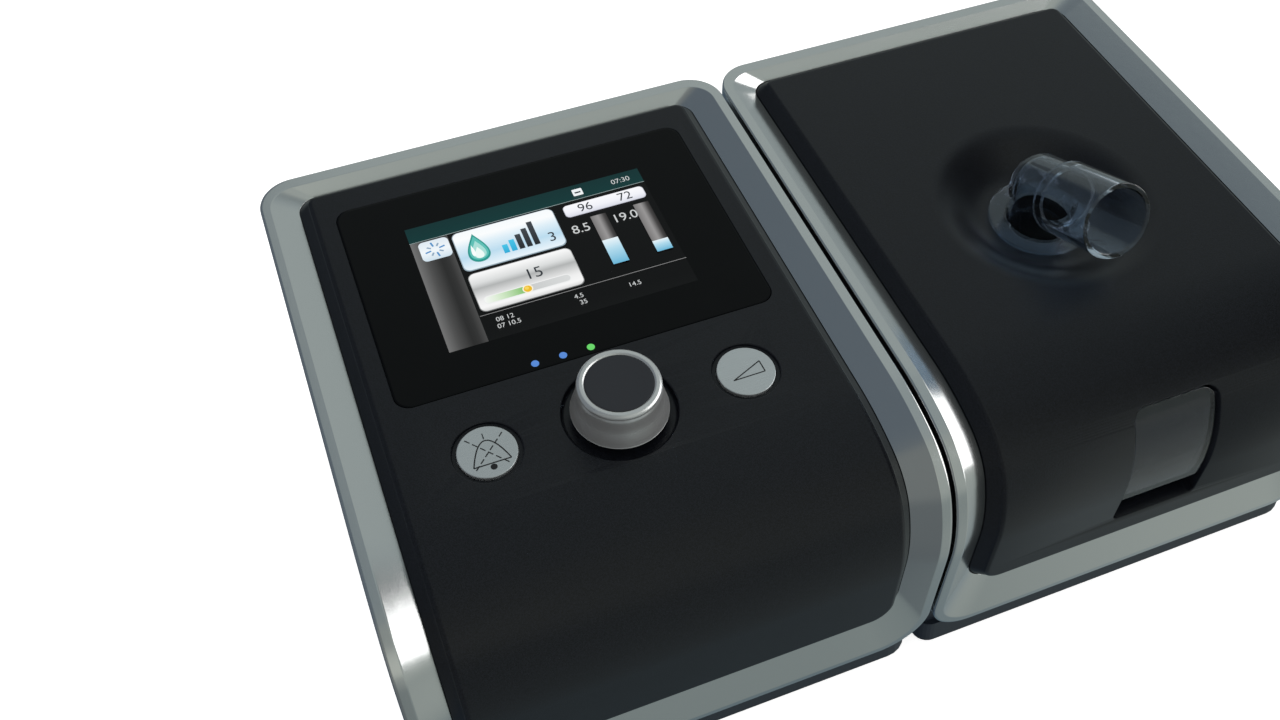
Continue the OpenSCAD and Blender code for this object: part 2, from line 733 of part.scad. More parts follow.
module blower_housing() {
    color("white") difference() {
        union() {
            at_blower() post(0, 0, drum_z, drum_top, blower_r);
            spout(blower_x, spout_end, conn_r + drum_wall);
        }
        at_blower() {
            post(0, 0, drum_z + drum_wall, drum_top - drum_wall, blower_r - drum_wall);
            post(0, 0, drum_z + drum_wall, drum_top + 1, eye_r);
            post(0, 0, drum_z - 1, drum_z + drum_wall + 1, spindle_r + 1);
        }
        spout(blower_x, spout_end + 1, conn_r);
    }
}

module blower_motor() {
    color("dimgray") at_blower() difference() {
        post(0, 0, motor_z, drum_z, motor_r);
        post(0, 0, motor_z + 1, drum_z + 1, spindle_r + run_gap);
    }
}

module blower_mounts() {
    color("black") at_blower() for (a = [90, 210, 330]) rotate(a) translate([motor_r - 6, 0, 0])
        post(0, 0, floor_z, motor_z, 4.5);
}

blade_n = 11;
impeller_z = drum_z + drum_wall + 3;
impeller_h = 12;
module impeller() {
    color("lightgray") at_blower() union() {
        post(0, 0, motor_z + 3, impeller_z + impeller_h, spindle_r);
        post(0, 0, impeller_z, impeller_z + impeller_h, 6);
        post(0, 0, impeller_z, impeller_z + 1.6, impeller_r);
        for (k = [0:blade_n - 1]) rotate(360 * k / blade_n) translate([4, -0.6, impeller_z + eps])
            rotate(18) cube([impeller_r - 6, 1.2, impeller_h - 1]);
    }
}

outlet_x = main_w / 2 + spigot_l;
module outlet_duct() {
    color("lightgray") on_main() translate([0, spigot_y, spigot_z]) union() {
        tube_x(spout_end - 5, outlet_x, conn_r, spigot_bore);
        tube_x(main_w / 2 - case_inset - wall - 2, main_w / 2 - case_inset - wall, conn_r + 3, spigot_bore);
    }
}

module flow_sensor() {
    color("darkgreen") on_main() difference() {
        box(44, 60, spigot_y - 8, spigot_y + 8, spigot_z + conn_r - 3, spigot_z + conn_r + 4);
        translate([0, spigot_y, spigot_z]) rotate([0, 90, 0]) cylinder(h = main_w, r = conn_r);
    }
}

// Intake: filter in the rear wall, a muffler box behind it and a duct over the blower.
filter_t = 5;
muffler_l = 12;
tray_d = wall + filter_t;
duct_wall = 1.6;
duct_front = blower_y - 16;
duct_top = drum_top + 18;
duct_x0 = blower_x - 17;
duct_x1 = blower_x + 17;
muffler_y = rear_y_at(filter_z) - tray_d - muffler_l;
module duct_solid(g) {
    box(filter_x - filter_w / 2 + g, filter_x + filter_w / 2 - g, muffler_y + g, muffler_y + muffler_l,
        filter_z - filter_h / 2 + g, filter_z + filter_h / 2 - g);
    box(duct_x0 + g, duct_x1 - g, duct_front + g, muffler_y + muffler_l - g, drum_top + g, duct_top - g);
}

module inlet_duct() {
    color("gainsboro") on_main() difference() {
        union() {
            duct_solid(0);
            on_rear(filter_x, filter_z) box(-filter_w / 2 - 2, filter_w / 2 + 2, -tray_d - 4, -wall,
                                            -filter_h / 2 - 2, filter_h / 2 + 2);
        }
        duct_solid(duct_wall);
        on_rear(filter_x, filter_z) box(-filter_w / 2, filter_w / 2, -tray_d, 0, -filter_h / 2, filter_h / 2);
        on_rear(filter_x, filter_z) box(-filter_w / 2 + 3, filter_w / 2 - 3, -tray_d - 5, 0,
                                        -filter_h / 2 + 3, filter_h / 2 - 3);
        translate([blower_x, blower_y, drum_top - 1]) cylinder(h = 5, r = eye_r);
    }
}

module muffler_foam() {
    color("dimgray") on_main() box(filter_x - filter_w / 2 + duct_wall, filter_x - 8, muffler_y + duct_wall,
        muffler_y + muffler_l - 3, filter_z - filter_h / 2 + duct_wall,
        filter_z + filter_h / 2 - duct_wall - 3);
}

module air_filter() {
    color("lightblue") on_main() on_rear(filter_x, filter_z) box(-filter_w / 2 + 0.3, filter_w / 2 - 0.3,
        -tray_d, -wall - 0.2, -filter_h / 2 + 0.3, filter_h / 2 - 0.3);
}

slot_n = 7;
module filter_cover() {
    pitch = (filter_h - 6) / slot_n;
    color([0.15, 0.18, 0.22]) on_main() on_rear(filter_x, filter_z) difference() {
        box(-filter_w / 2 + side_gap, filter_w / 2 - side_gap, -wall, 0,
            -filter_h / 2 + side_gap, filter_h / 2 - side_gap);
        for (i = [0:slot_n - 1]) box(-filter_w / 2 + 5, filter_w / 2 - 5, -wall - 1, 1,
            -filter_h / 2 + 3 + pitch * (i + 0.25), -filter_h / 2 + 3 + pitch * (i + 0.75));
    }
}

jack_bore = 3.2;
jack_pin = 1.2;
module dc_inlet() {
    color("black") on_main() on_rear(jack_x, jack_z) union() {
        difference() {
            box(-jack_w / 2, jack_w / 2, -jack_l, 0, -jack_h / 2, jack_h / 2);
            translate([0, -jack_l + 3, 0]) rotate([-90, 0, 0]) cylinder(h = jack_l, r = jack_bore);
        }
        translate([0, -jack_l + 3 - eps, 0]) rotate([-90, 0, 0]) cylinder(h = jack_l - 4, r = jack_pin);
        box(-jack_w / 2 - 2, jack_w / 2 + 2, -wall - 2, -wall, -jack_h / 2 - 1, jack_h / 2 + 2);
    }
}

card_x = -main_w / 2 + case_inset;
card_y = blower_y - blower_r - card_w / 2 - 4;
module sd_socket() {
    color("silver") on_main() difference() {
        box(card_x + wall, card_x + card_l + 2, card_y - card_w / 2 - 2, card_y + card_w / 2 + 2,
            card_z - card_t / 2 - 1.4, card_z + card_t / 2 + 1.4);
        box(card_x - 1, card_x + card_l + 0.6, card_y - card_w / 2 - card_gap, card_y + card_w / 2 + card_gap,
            card_z - card_t / 2 - card_gap, card_z + card_t / 2 + card_gap);
    }
}

module sd_card() {
    color("royalblue") on_main() box(card_x, card_x + card_l, card_y - card_w / 2, card_y + card_w / 2,
        card_z - card_t / 2, card_z + card_t / 2);
}

contact_n = 5;
contact_pin = 0.8;
module contact_places() {
    for (i = [0:contact_n - 1]) translate([0, contact_y + 4.5 * (i - (contact_n - 1) / 2), contact_z])
        rotate([0, 90, 0]) children();
}
module dock_contacts() {
    color("goldenrod") on_main() union() {
        box(main_w / 2 - wall - 6, main_w / 2 - case_inset, contact_y - contact_w / 2,
            contact_y + contact_w / 2, contact_z - contact_h / 2, contact_z + contact_h / 2);
        contact_places() translate([0, 0, main_w / 2 - 2])
            cylinder(h = 2 + module_gap - side_gap, r = contact_pin);
    }
}

// --- Humidifier -------------------------------------------------------------
dock_x = -humid_w / 2 + case_inset;
spigot_end = -humid_w / 2 - module_gap + spigot_l;
tub_x0 = spigot_end + 3;
tub_in = 17;
tub_x1 = humid_w / 2 - tub_in + 4;
tub_front = base_front + tub_in;
tub_back = 90;
heater_x = (tub_x0 + tub_x1) / 2;
heater_y = (tub_front + tub_back) / 2;
heater_top = floor_z + 12;
heater_t = 4;
plate_t = 1.2;
tub_z = heater_top + plate_t;
tub_floor = 2.2;
bay_u = humid_w / 2 - inner_side - 2;
bay_v0 = -36;
bay_v1 = back_v - inner_back + 0.3;
lug_u = 38;
lug_t = 4;
lug_r = 1.7;
pin_r = 0.8;
pin_l = 14;
rail_v = 94;
rail_d = inner_d + 4;

module humidifier_base() {
    color([0.15, 0.18, 0.22]) on_humid() union() {
        base_tray(humid_w, true);
        difference() {
            post(heater_x, heater_y, floor_z - eps, heater_top - heater_t, heater_r + 2.2);
            post(heater_x, heater_y, floor_z, heater_top, heater_r - 1.5);
        }
        difference() {
            post(heater_x, heater_y, heater_top - heater_t - eps, heater_top, heater_r + 2.2);
            post(heater_x, heater_y, floor_z, heater_top + 1, heater_r + 0.2);
        }
    }
}

module hinge_lugs() {
    for (s = [-1, 1]) translate([s * lug_u - lug_t / 2, 0, 0]) rotate([90, 0, 90])
    linear_extrude(lug_t) union() {
        translate([hinge_v, -hinge_d]) circle(r = lug_r);
        polygon([[hinge_v + lug_r * cos(45), -hinge_d - lug_r * sin(45)],
                 [hinge_v - lug_r * cos(45), -hinge_d + lug_r * sin(45)],
                 [rail_v, -rail_d + 1], [rail_v, -rail_d - 3], [rail_v + 3, -rail_d - 3]]);
    }
}

module humidifier_case() {
    color([0.15, 0.18, 0.22]) on_humid() difference() {
        union() {
            difference() {
                union() {
                    case_shell(humid_w);
                    case_bosses(humid_w);
                }
                on_deck() {
                    box(-bay_u, bay_u, bay_v0, bay_v1, -inner_d - 9, 1);
                    box(inner_side - humid_w / 2, humid_w / 2 - inner_side,
                        hinge_v - 8, bay_v1, -inner_d - 1, 1);
                }
                box(-window_u - 2, window_u + 2, base_front - 20, yz([bay_v0 + 2, 0])[0],
                    yz(surf(window_t + window_l + finger_gap, frame_t))[1] - 2, deck_z);
            }
            on_deck() {
                box(-humid_w / 2 + case_inset + wall / 2, humid_w / 2 - case_inset - wall / 2,
                    rail_v, rail_v + 3, -rail_d - 3, -rail_d);
                hinge_lugs();
            }
        }
        on_deck() translate([-humid_w / 2, hinge_v, -hinge_d]) rotate([0, 90, 0])
            cylinder(h = humid_w, r = pin_r);
        translate([-humid_w, spigot_y, spigot_z]) rotate([0, 90, 0]) cylinder(h = humid_w, r = conn_r + 0.6);
        box(-humid_w, dock_x + wall + 3, contact_y - contact_w / 2, contact_y + contact_w / 2,
            contact_z - contact_h / 2, contact_z + contact_h / 2);
    }
}

module hinge_pins() {
    color("silver") on_humid() on_deck() for (s = [-1, 1])
        translate([s * lug_u - pin_l / 2, hinge_v, -hinge_d]) rotate([0, 90, 0])
            cylinder(h = pin_l, r = pin_r);
}

// Tub with upright walls, cut off parallel to the deck.
module tub_block(g, z0, rim_d) {
    intersection() {
        translate([0, 0, z0]) linear_extrude(deck_z) polygon(rounded_rect(
            tub_x0 + g, tub_front + g, tub_x1 - g, tub_back - g, (8 - g) * [1, 1, 1, 1]));
        on_deck() box(-humid_w, humid_w, -200, 200, -200, -rim_d);
    }
}

module water_tub() {
    color([0.75, 0.85, 0.95, 0.5]) on_humid() difference() {
        tub_block(0, tub_z, tub_rim_d);
        tub_block(tub_wall, tub_z + tub_floor, tub_rim_d - 1);
        translate([-humid_w, spigot_y, spigot_z]) rotate([0, 90, 0])
            cylinder(h = humid_w + heater_x, r = spigot_bore);
    }
}

module tub_plate() { color("silver") on_humid() post(heater_x, heater_y, heater_top, tub_z, heater_r - 2); }
module heater_plate() {
    color("lightgray") on_humid() post(heater_x, heater_y, heater_top - heater_t, heater_top, heater_r);
}
module heater_element() {
    color("orange") on_humid() difference() {
        post(heater_x, heater_y, heater_top - heater_t - 2, heater_top - heater_t, heater_r - 6);
        post(heater_x, heater_y, floor_z, heater_top - heater_t + 1, 8);
    }
}

module air_socket() {
    color("dimgray") on_humid() translate([0, spigot_y, spigot_z]) union() {
        tube_x(dock_x + wall, tub_x0 - 2, conn_r + 3, conn_r + side_gap);
        tube_x(tub_x0 - 2 - eps, tub_x0 - 0.3, conn_r + 3, spigot_bore);
    }
}

module dock_pads() {
    color("goldenrod") on_humid() union() {
        box(dock_x + 0.4, dock_x + wall + 4, contact_y - contact_w / 2, contact_y + contact_w / 2,
            contact_z - contact_h / 2, contact_z + contact_h / 2);
        contact_places() translate([0, 0, dock_x]) cylinder(h = 2, r = 1.4);
    }
}

module humidifier_feet() { color("black") on_humid() rubber_feet(humid_w); }
module humidifier_screws() { color("silver") on_humid() case_screws(humid_w); }

// --- Lid ---------------------------------------------------------------------
seat_r = flange_r + 0.8;
bowl_t = 2.2;
// Depth of the dish at radius r: flat in the middle, then an even rise.
function dish_w(r) = r <= seat_r ? -dish_depth
    : -dish_depth * (0.5 + 0.5 * cos(180 * (r - seat_r) / (dish_r - seat_r)));
dish_n = 10;
dish_pts = [for (k = [0:dish_n]) let (r = seat_r + (dish_r - seat_r) * k / dish_n) [r, dish_w(r)]];
socket_r = conn_r - 0.8;
module at_elbow() { on_humid() on_deck() translate([0, elbow_v, 0]) children(); }

module lid_panel() {
    slot = lug_t / 2 + side_gap;
    cut_t1 = window_t + window_l + finger_gap;
    color([0.1, 0.11, 0.13]) difference() {
        union() {
            on_humid() panel_plate(humid_w, lid_gap, frame_t - run_gap);
            at_elbow() rotate_extrude() polygon(concat(
                [[0, -frame_t + 1], [0, -dish_depth - bowl_t]],
                [for (p = dish_pts) if (p[1] - bowl_t < -frame_t - 0.2) [p[0] + 1, p[1] - bowl_t]],
                [[dish_r - 3, -frame_t + 1]]));
        }
        at_elbow() rotate_extrude() polygon(concat([[0, 1], [0, -dish_depth]], dish_pts, [[dish_r, 1]]));
        at_elbow() post(0, 0, -dish_depth - bowl_t - 1, 0, socket_r + run_gap);
        on_humid() on_deck() {
            wrapped_plate([for (d = [frame_t + 1, -1]) [window_u, window_t, cut_t1, 3, 2, d]],
                          ts_between(window_t + 3.2, cut_t1 - 2.2));
            for (s = [-1, 1]) {
                translate([s * lug_u - slot, hinge_v, -hinge_d]) rotate([0, 90, 0])
                    cylinder(h = 2 * slot, r = lug_r + 0.3);
                box(s * lug_u - slot, s * lug_u + slot, hinge_v - 6, hinge_v + 3.2,
                    -frame_t - 1, -hinge_d + 0.9);
                translate([s * lug_u - pin_l / 2 - 0.2, hinge_v, -hinge_d]) rotate([0, 90, 0])
                    cylinder(h = pin_l + 0.4, r = pin_r + run_gap);
            }
        }
    }
}

window_gap = 0.1;
window_wall = 2.2;
module water_window() {
    a = window_u - window_gap;
    t0 = window_t + window_gap;
    t1 = window_t + window_l;
    color([0.8, 0.9, 1, 0.4]) on_humid() on_deck() wrapped_plate([
        [a, t0, t1, 3, 1, 0.4 + window_wall],
        [a, t0, t1, 3, 1, 0.7],
        [a - 0.3, t0 + 0.3, t1 - 0.3, 2.7, 0.7, 0.4]],
        ts_between(t0 + 3.2, t1 - 1.5));
}

liner_t = 2;
skirt = 3;
skirt_d = tub_rim_d - 2.5;
// v where the tub's upright wall at y meets depth d
function tub_v(y, d) = (y - d * sin(tilt)) / cos(tilt);
module rim_ring(d0, d1, g0, g1) {
    v0 = tub_v(tub_front, tub_rim_d);
    v1 = tub_v(tub_back, tub_rim_d);
    translate([0, 0, -d1]) linear_extrude(d1 - d0) difference() {
        polygon(rounded_rect(tub_x0 - g0, v0 - g0, tub_x1 + g0, v1 + g0, 8 * [1, 1, 1, 1]));
        polygon(rounded_rect(tub_x0 + g1, v0 + g1, tub_x1 - g1, v1 - g1, 6 * [1, 1, 1, 1]));
    }
}

module lid_liner() {
    color("gainsboro") on_humid() intersection() {
        side_prism(case_profile(frame_t, 0, base_top), humid_w);
        on_deck() difference() {
            union() {
                rim_ring(frame_t, skirt_d, 0, skirt);
                rim_ring(frame_t, frame_t + liner_t, 0, 20);
                post(0, elbow_v, -frame_t - liner_t, -frame_t, dish_r + 6);
            }
            post(0, elbow_v, -frame_t - liner_t - 1, 0, dish_r + 1.5);
        }
    }
}

module lid_gasket() {
    color("dimgray") on_humid() on_deck()
        rim_ring(skirt_d, tub_rim_d - side_gap, -0.2, skirt - 0.2);
}

// --- Elbow --------------------------------------------------------------------
stub_end = dish_depth + bowl_t + 3;
thin_r = conn_r - 1.2;
elbow_back = 9.5;
back_r = 5;
module along_tube() { translate([0, 0, elbow_h]) rotate([90 - elbow_rise, 0, 0]) children(); }
// Rod from -l0 to l1 whose closed back end is rounded with radius e.
module round_rod(l0, l1, r, e) {
    rotate_extrude() polygon(concat([[0, l1], [0, -l0]], arc_pts([r - e, e - l0], e, 270), [[r, l1]]));
}
module elbow_stem(inset, foot) {
    bottom = -stub_end - foot;
    post(0, 0, bottom, -dish_depth + flange_t, socket_r - inset);
    translate([0, 0, -dish_depth + flange_t - eps])
        cylinder(h = elbow_h + dish_depth - flange_t, r1 = socket_r - inset, r2 = thin_r - inset);
}

module elbow() {
    c = elbow_wall;
    color([0.8, 0.88, 1, 0.4]) at_elbow() difference() {
        union() {
            post(0, 0, -dish_depth + run_gap, -dish_depth + flange_t, flange_r);
            elbow_stem(0, 0);
            along_tube() round_rod(elbow_back, elbow_l, thin_r, back_r);
            along_tube() post(0, 0, elbow_l - sleeve_l, elbow_l, conn_r);
        }
        elbow_stem(c, 1);
        along_tube() round_rod(elbow_back - c, elbow_l + 1, thin_r - c, back_r - c);
        along_tube() post(0, 0, elbow_l - sleeve_l + c, elbow_l + 1, conn_r - c);
    }
}

module elbow_seal() {
    color("dimgray") at_elbow() difference() {
        post(0, 0, -stub_end + 0.6, -dish_depth - bowl_t, socket_r + 2);
        post(0, 0, -stub_end, 0, socket_r + run_gap);
    }
}

main_base();
main_case();
main_frame();
fascia_panel();
screen_lens();
display_module();
ui_board();
tact_switches();
encoder_body();
indicator_lights();
main_board();
buzzer();
ribbon_cable();
blower_housing();
blower_motor();
blower_mounts();
inlet_duct();
muffler_foam();
air_filter();
outlet_duct();
flow_sensor();
dc_inlet();
sd_socket();
dock_contacts();
main_feet();
main_screws();
ui_screws();
encoder_plunger();
encoder_shaft();
knob_shell();
knob_cap();
mute_button();
ramp_button();
impeller();
filter_cover();
sd_card();
humidifier_base();
humidifier_case();
humidifier_frame();
water_tub();
tub_plate();
heater_plate();
heater_element();
air_socket();
dock_pads();
humidifier_feet();
humidifier_screws();
hinge_pins();
lid_panel();
water_window();
lid_liner();
lid_gasket();
elbow_seal();
elbow();
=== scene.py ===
"""Bedside positive airway pressure machine with its docked humidifier.

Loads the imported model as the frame, and builds the visible shells, the screen, the controls, the
clear parts, the finishes and the studio round it.
"""

import json
import math

import bmesh
import bpy
import numpy as np
from bpy.props import FloatProperty, FloatVectorProperty, PointerProperty
from bpy.types import Operator, Panel, PropertyGroup
from mathutils import Matrix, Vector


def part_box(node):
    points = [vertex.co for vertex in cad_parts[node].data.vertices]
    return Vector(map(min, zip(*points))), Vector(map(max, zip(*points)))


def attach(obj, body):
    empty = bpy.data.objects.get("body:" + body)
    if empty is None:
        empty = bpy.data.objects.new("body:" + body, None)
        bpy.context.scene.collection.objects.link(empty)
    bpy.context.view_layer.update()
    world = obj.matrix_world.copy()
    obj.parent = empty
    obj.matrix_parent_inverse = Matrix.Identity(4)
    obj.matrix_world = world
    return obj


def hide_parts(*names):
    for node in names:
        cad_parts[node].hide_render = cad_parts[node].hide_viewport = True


bl_info = {
    "name": "Breathing Machine Shells",
    "version": (1, 0, 0),
    "blender": (4, 5, 0),
    "location": "View3D > Sidebar > Machine",
    "description": "Shells, screen, controls, clear parts and studio of a bedside breathing machine",
    "category": "Object",
}

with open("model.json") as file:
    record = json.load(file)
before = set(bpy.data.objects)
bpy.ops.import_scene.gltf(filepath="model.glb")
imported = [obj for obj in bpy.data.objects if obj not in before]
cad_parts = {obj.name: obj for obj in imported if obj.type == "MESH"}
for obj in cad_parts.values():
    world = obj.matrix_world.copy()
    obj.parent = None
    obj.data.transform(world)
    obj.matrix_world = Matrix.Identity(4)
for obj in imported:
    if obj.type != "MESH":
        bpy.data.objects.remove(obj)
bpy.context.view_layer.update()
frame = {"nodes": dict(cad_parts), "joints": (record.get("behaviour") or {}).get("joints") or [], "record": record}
MM = 0.001
SIGN_INK = (22, 23, 25)
RINGS_PER_METRE = 9000.0

JOINTS = {joint["name"]: joint for joint in frame["joints"]}
NORMAL = np.array(JOINTS["knob_turn"]["axis"])
RIGHT = np.array([1.0, 0.0, 0.0])
BACK = np.cross(NORMAL, RIGHT)
MAIN_DECK = np.array(JOINTS["knob_turn"]["pos_m"])
LID_DECK = np.array([JOINTS["elbow_swivel"]["pos_m"][0], MAIN_DECK[1], MAIN_DECK[2]])


def width_of(node):
    """Width of a CAD node along the table."""
    low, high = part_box(node)
    return high[0] - low[0]


# --- Sizes and colours --------------------------------------------------------


def length(name, description, millimetres):
    """A length property with its default given in millimetres."""
    return FloatProperty(
        name=name, description=description, default=millimetres * MM, unit="LENGTH", precision=5
    )


def angle(name, description, degrees):
    """An angle property with its default given in degrees."""
    return FloatProperty(name=name, description=description, default=math.radians(degrees), unit="ROTATION")


def colour(name, description, red, green, blue):
    """A colour property whose default is given as screen values from 0 to 255."""
    return FloatVectorProperty(
        name=name, description=description, default=linear(red, green, blue), subtype="COLOR",
        size=3, min=0, max=1,
    )


def linear(red, green, blue):
    """Scene colour of screen values from 0 to 255: ((c + 0.055) / 1.055) ^ 2.4."""
    values = np.array([red, green, blue]) / 255
    curve = np.where(values < 0.04045, values / 12.92, ((values + 0.055) / 1.055) ** 2.4)
    return tuple(curve.tolist())


class SideLineSizes(PropertyGroup):
    """The side line that both modules share, measured from the knob's axis."""

    back: length("Back edge", "From the knob's axis to the deck's back edge", 117.5)
    reach: length("Nose start", "From the knob's axis forward to the nose", 13)
    radii: FloatVectorProperty(
        name="Nose radii", description="Radii of the three arcs of the nose", size=3, unit="LENGTH",
        default=(75 * MM, 24 * MM, 52 * MM),
    )
    turns: FloatVectorProperty(
        name="Nose turns", description="Slope at the end of each arc", size=3, unit="ROTATION",
        default=(math.radians(17), math.radians(62), math.radians(87.5)),
    )
    front: length("Front length", "Length of the straight front under the nose", 43)


class FrameSizes(PropertyGroup):
    """The silver frames: a flat outer ring and a band that slopes down to the black field."""

    thickness: length("Thickness", "Height of the frame's outer wall", 4.5)
    ring_side: length("Ring, sides", "Width of the flat ring at the sides", 3.2)
    ring_back: length("Ring, back", "Width of the flat ring at the back", 4.1)
    ring_front: length("Ring, front", "Width of the flat ring at the front", 2.6)
    band_side: length("Band, sides", "Width of the sloping band at the sides", 7.6)
    band_back: length("Band, back", "Width of the sloping band at the back", 3)
    band_front: length("Band, front", "Width of the sloping band at the front", 15.8)
    band_depth: length("Band depth", "Depth of the band's inner edge", 3.6)
    corner_back: length("Back corners", "Outer corner radius at the back", 11)
    corner_front: length("Front corners", "Outer corner radius at the front", 15)
    field_back: length("Field corners, back", "Corner radius of the field at the back", 6)
    field_front: length("Field corners, front", "Corner radius of the field at the front", 10)
    edge: length("Edge", "How far the outer edge is rounded", 0.75)
    crease: length("Crease", "How far the crease between ring and band is rounded", 0.2)


class FieldSizes(PropertyGroup):
    """The black fields inside the frames."""

    gap: length("Panel gap", "Gap between the fixed panel and its frame", 0.15)
    lid_gap: length("Lid gap", "Gap between the lid and its frame", 0.35)
    lid_rise: length("Lid clearance", "Gap between the lid's underside and the case", 0.05)
    bevel: length("Shoulder", "Width of the sloping edge", 4)
    lip: length("Shoulder foot", "Width left for the rounded top of the slope", 1.2)
    lip_depth: length("Foot depth", "Depth where the rounded top starts", 0.9)


class ScreenSizes(PropertyGroup):
    """The glossy lens, the picture under it and the status lights."""

    lens_width: length("Lens width", "Width of the glossy lens", 109.3)
    lens_length: length("Lens length", "Length of the glossy lens", 77.1)
    lens_start: length("Lens start", "From the knob's axis to the lens", 20.5)
    lens_thickness: length("Lens thickness", "Thickness of the lens", 1.8)
    lens_corner: length("Lens corners", "Corner radius of the lens", 4.5)
    picture_width: length("Picture width", "Width of the lit picture", 73.4)
    picture_length: length("Picture length", "Length of the lit picture", 49)
    picture_centre: length("Picture centre", "From the knob's axis to the picture's middle", 59.05)
    light_start: length("First light", "Sideways place of the first status light", -16)
    light_step: length("Light spacing", "Spacing of the status lights", 8)
    light_radius: length("Light radius", "Radius of a status light", 1.1)
    light_edge: length("Light margin", "From the lens's edge to the lights' middle", 2.2)


class ControlSizes(PropertyGroup):
    """The knob and the two buttons."""

    button_place: length("Button place", "Sideways from the knob's axis to a button", 36.3)
    button_radius: length("Button radius", "Radius of a button's face", 8)
    button_recess: length("Button recess", "Radius of the recess round a button", 9.3)
    recess_depth: length("Recess depth", "Depth of the recess round a button", 1)
    knob_radius: length("Knob radius", "Radius of the knob's skirt", 13.2)
    knob_top: length("Knob top", "Radius of the knob's rim", 11)
    knob_height: length("Knob height", "Height of the knob over the deck", 12.4)
    knob_cap: length("Cap radius", "Radius of the knob's dark cap", 9)
    knob_foot: length("Knob foot", "Height of the skirt's lower edge over the deck", 0.9)
    knob_recess: length("Knob recess", "Radius of the knob's recess", 15.5)
    knob_recess_depth: length("Knob recess depth", "Depth of the knob's recess", 2)


class LidSizes(PropertyGroup):
    """The lid with its dish, its window and its hinge slots."""

    elbow_place: length("Elbow place", "From the knob's line back to the elbow's axis", 26.2)
    dish_radius: length("Dish radius", "Radius of the round dish", 34.3)
    dish_depth: length("Dish depth", "Depth of the dish", 7.4)
    seat_radius: length("Seat radius", "Radius of the dish's flat middle", 16)
    bowl: length("Bowl thickness", "Wall under the dish", 2.2)
    bore: length("Bore", "Radius of the hole for the elbow", 10.25)
    window_half: length("Window half width", "Half width of the window", 14)
    window_start: length("Window start", "From the back edge round to the window", 163.5)
    window_length: length("Window length", "Length of the window round the nose", 35)
    window_wall: length("Window thickness", "Thickness of the clear window", 2.2)
    finger_gap: length("Finger gap", "Open length under the window", 8)
    hinge_place: length("Hinge place", "From the knob's line back to the hinge", 104)
    hinge_depth: length("Hinge depth", "Depth of the hinge's axis", 2.4)
    lug_place: length("Lug place", "Sideways place of a hinge lug", 38)
    lug_slot: length("Lug slot", "Half width of the slot round a lug", 2.3)


class ElbowSizes(PropertyGroup):
    """The clear swivel elbow."""

    height: length("Axis height", "Height where the tube's axis meets the swivel axis", 5.1)
    rise: angle("Rise", "Slope of the tube over the deck", 25.7)
    reach: length("Reach", "From the swivel axis to the mouth", 31.2)
    back: length("Back", "From the swivel axis to the closed end", 9.5)
    back_edge: length("Back edge", "Rounding of the closed end", 5)
    sleeve: length("Sleeve", "Length of the wider end for the hose", 23.5)
    sleeve_radius: length("Sleeve radius", "Outer radius of the wider end", 11)
    tube_radius: length("Tube radius", "Outer radius of the tube", 9.8)
    socket_radius: length("Socket radius", "Outer radius of the stem", 10.2)
    stem: length("Stem", "Depth of the stem's lower end", 12.6)
    flange_radius: length("Flange radius", "Radius of the flange in the dish", 15.2)
    flange: length("Flange thickness", "Thickness of the flange", 1.5)
    wall: length("Wall", "Thickness of the walls", 1.6)


class FinishColours(PropertyGroup):
    """Colours of the finishes that show most."""

    silver: colour("Silver", "Satin silver paint of the frames", 227, 228, 227)
    black: colour("Black", "Satin black of the fields", 14, 16, 22)
    case: colour("Case", "Dark plastic of the cases and bases", 40, 48, 58)
    lens: colour("Lens", "Glossy black of the lens", 9, 10, 11)
    button: colour("Button", "Brushed metal of the buttons", 202, 208, 209)
    cap: colour("Cap", "Matt cap of the knob", 34, 37, 43)
    sign: colour("Sign", "Ink of the signs on the buttons", 22, 23, 25)
    clear: colour("Clear", "Clear plastic", 222, 234, 248)
    blue_light: colour("Blue light", "Status lights, blue", 80, 130, 205)
    green_light: colour("Green light", "Status light, green", 98, 205, 98)


class StudioSettings(PropertyGroup):
    """Camera, lamp and background."""

    camera_place: FloatVectorProperty(
        name="Camera place", description="Place of the camera", size=3, subtype="TRANSLATION",
        unit="LENGTH", default=(-0.13286, -0.26135, 0.33229),
    )
    camera_forward: FloatVectorProperty(
        name="Camera direction", description="Direction of the camera's view", size=3, subtype="DIRECTION",
        default=(0.2183309, 0.6929615, -0.6871215),
    )
    camera_right: FloatVectorProperty(
        name="Camera right", description="Direction of the picture's right", size=3, subtype="DIRECTION",
        default=(0.9337184, -0.3530518, -0.0593661),
    )
    focal: FloatProperty(
        name="Focal length", description="Focal length in mm on a 36 mm sensor", default=34.91
    )
    lamp_distance: length("Lamp distance", "Distance of the soft lamp", 6000)
    lamp_azimuth: angle("Lamp azimuth", "Direction of the lamp, from the back clockwise", 106.5)
    lamp_rise: angle("Lamp rise", "Height of the lamp over the horizon", 20)
    lamp_width: length("Lamp width", "Width of the soft lamp", 6400)
    lamp_height: length("Lamp height", "Height of the soft lamp", 5300)
    lamp_glow: FloatProperty(
        name="Lamp glow", description="Brightness of the lamp's face, 1 is white", default=2.0
    )
    fill: FloatProperty(name="Fill", description="Even light from all round", default=0.72)
    floor_size: length("Floor size", "Side of the floor", 8000)


class MachineSettings(PropertyGroup):
    """Everything that a user may change."""

    line: PointerProperty(type=SideLineSizes)
    frames: PointerProperty(type=FrameSizes)
    field: PointerProperty(type=FieldSizes)
    screen: PointerProperty(type=ScreenSizes)
    controls: PointerProperty(type=ControlSizes)
    lid: PointerProperty(type=LidSizes)
    elbow: PointerProperty(type=ElbowSizes)
    colours: PointerProperty(type=FinishColours)
    studio: PointerProperty(type=StudioSettings)


# --- Surfaces -----------------------------------------------------------------


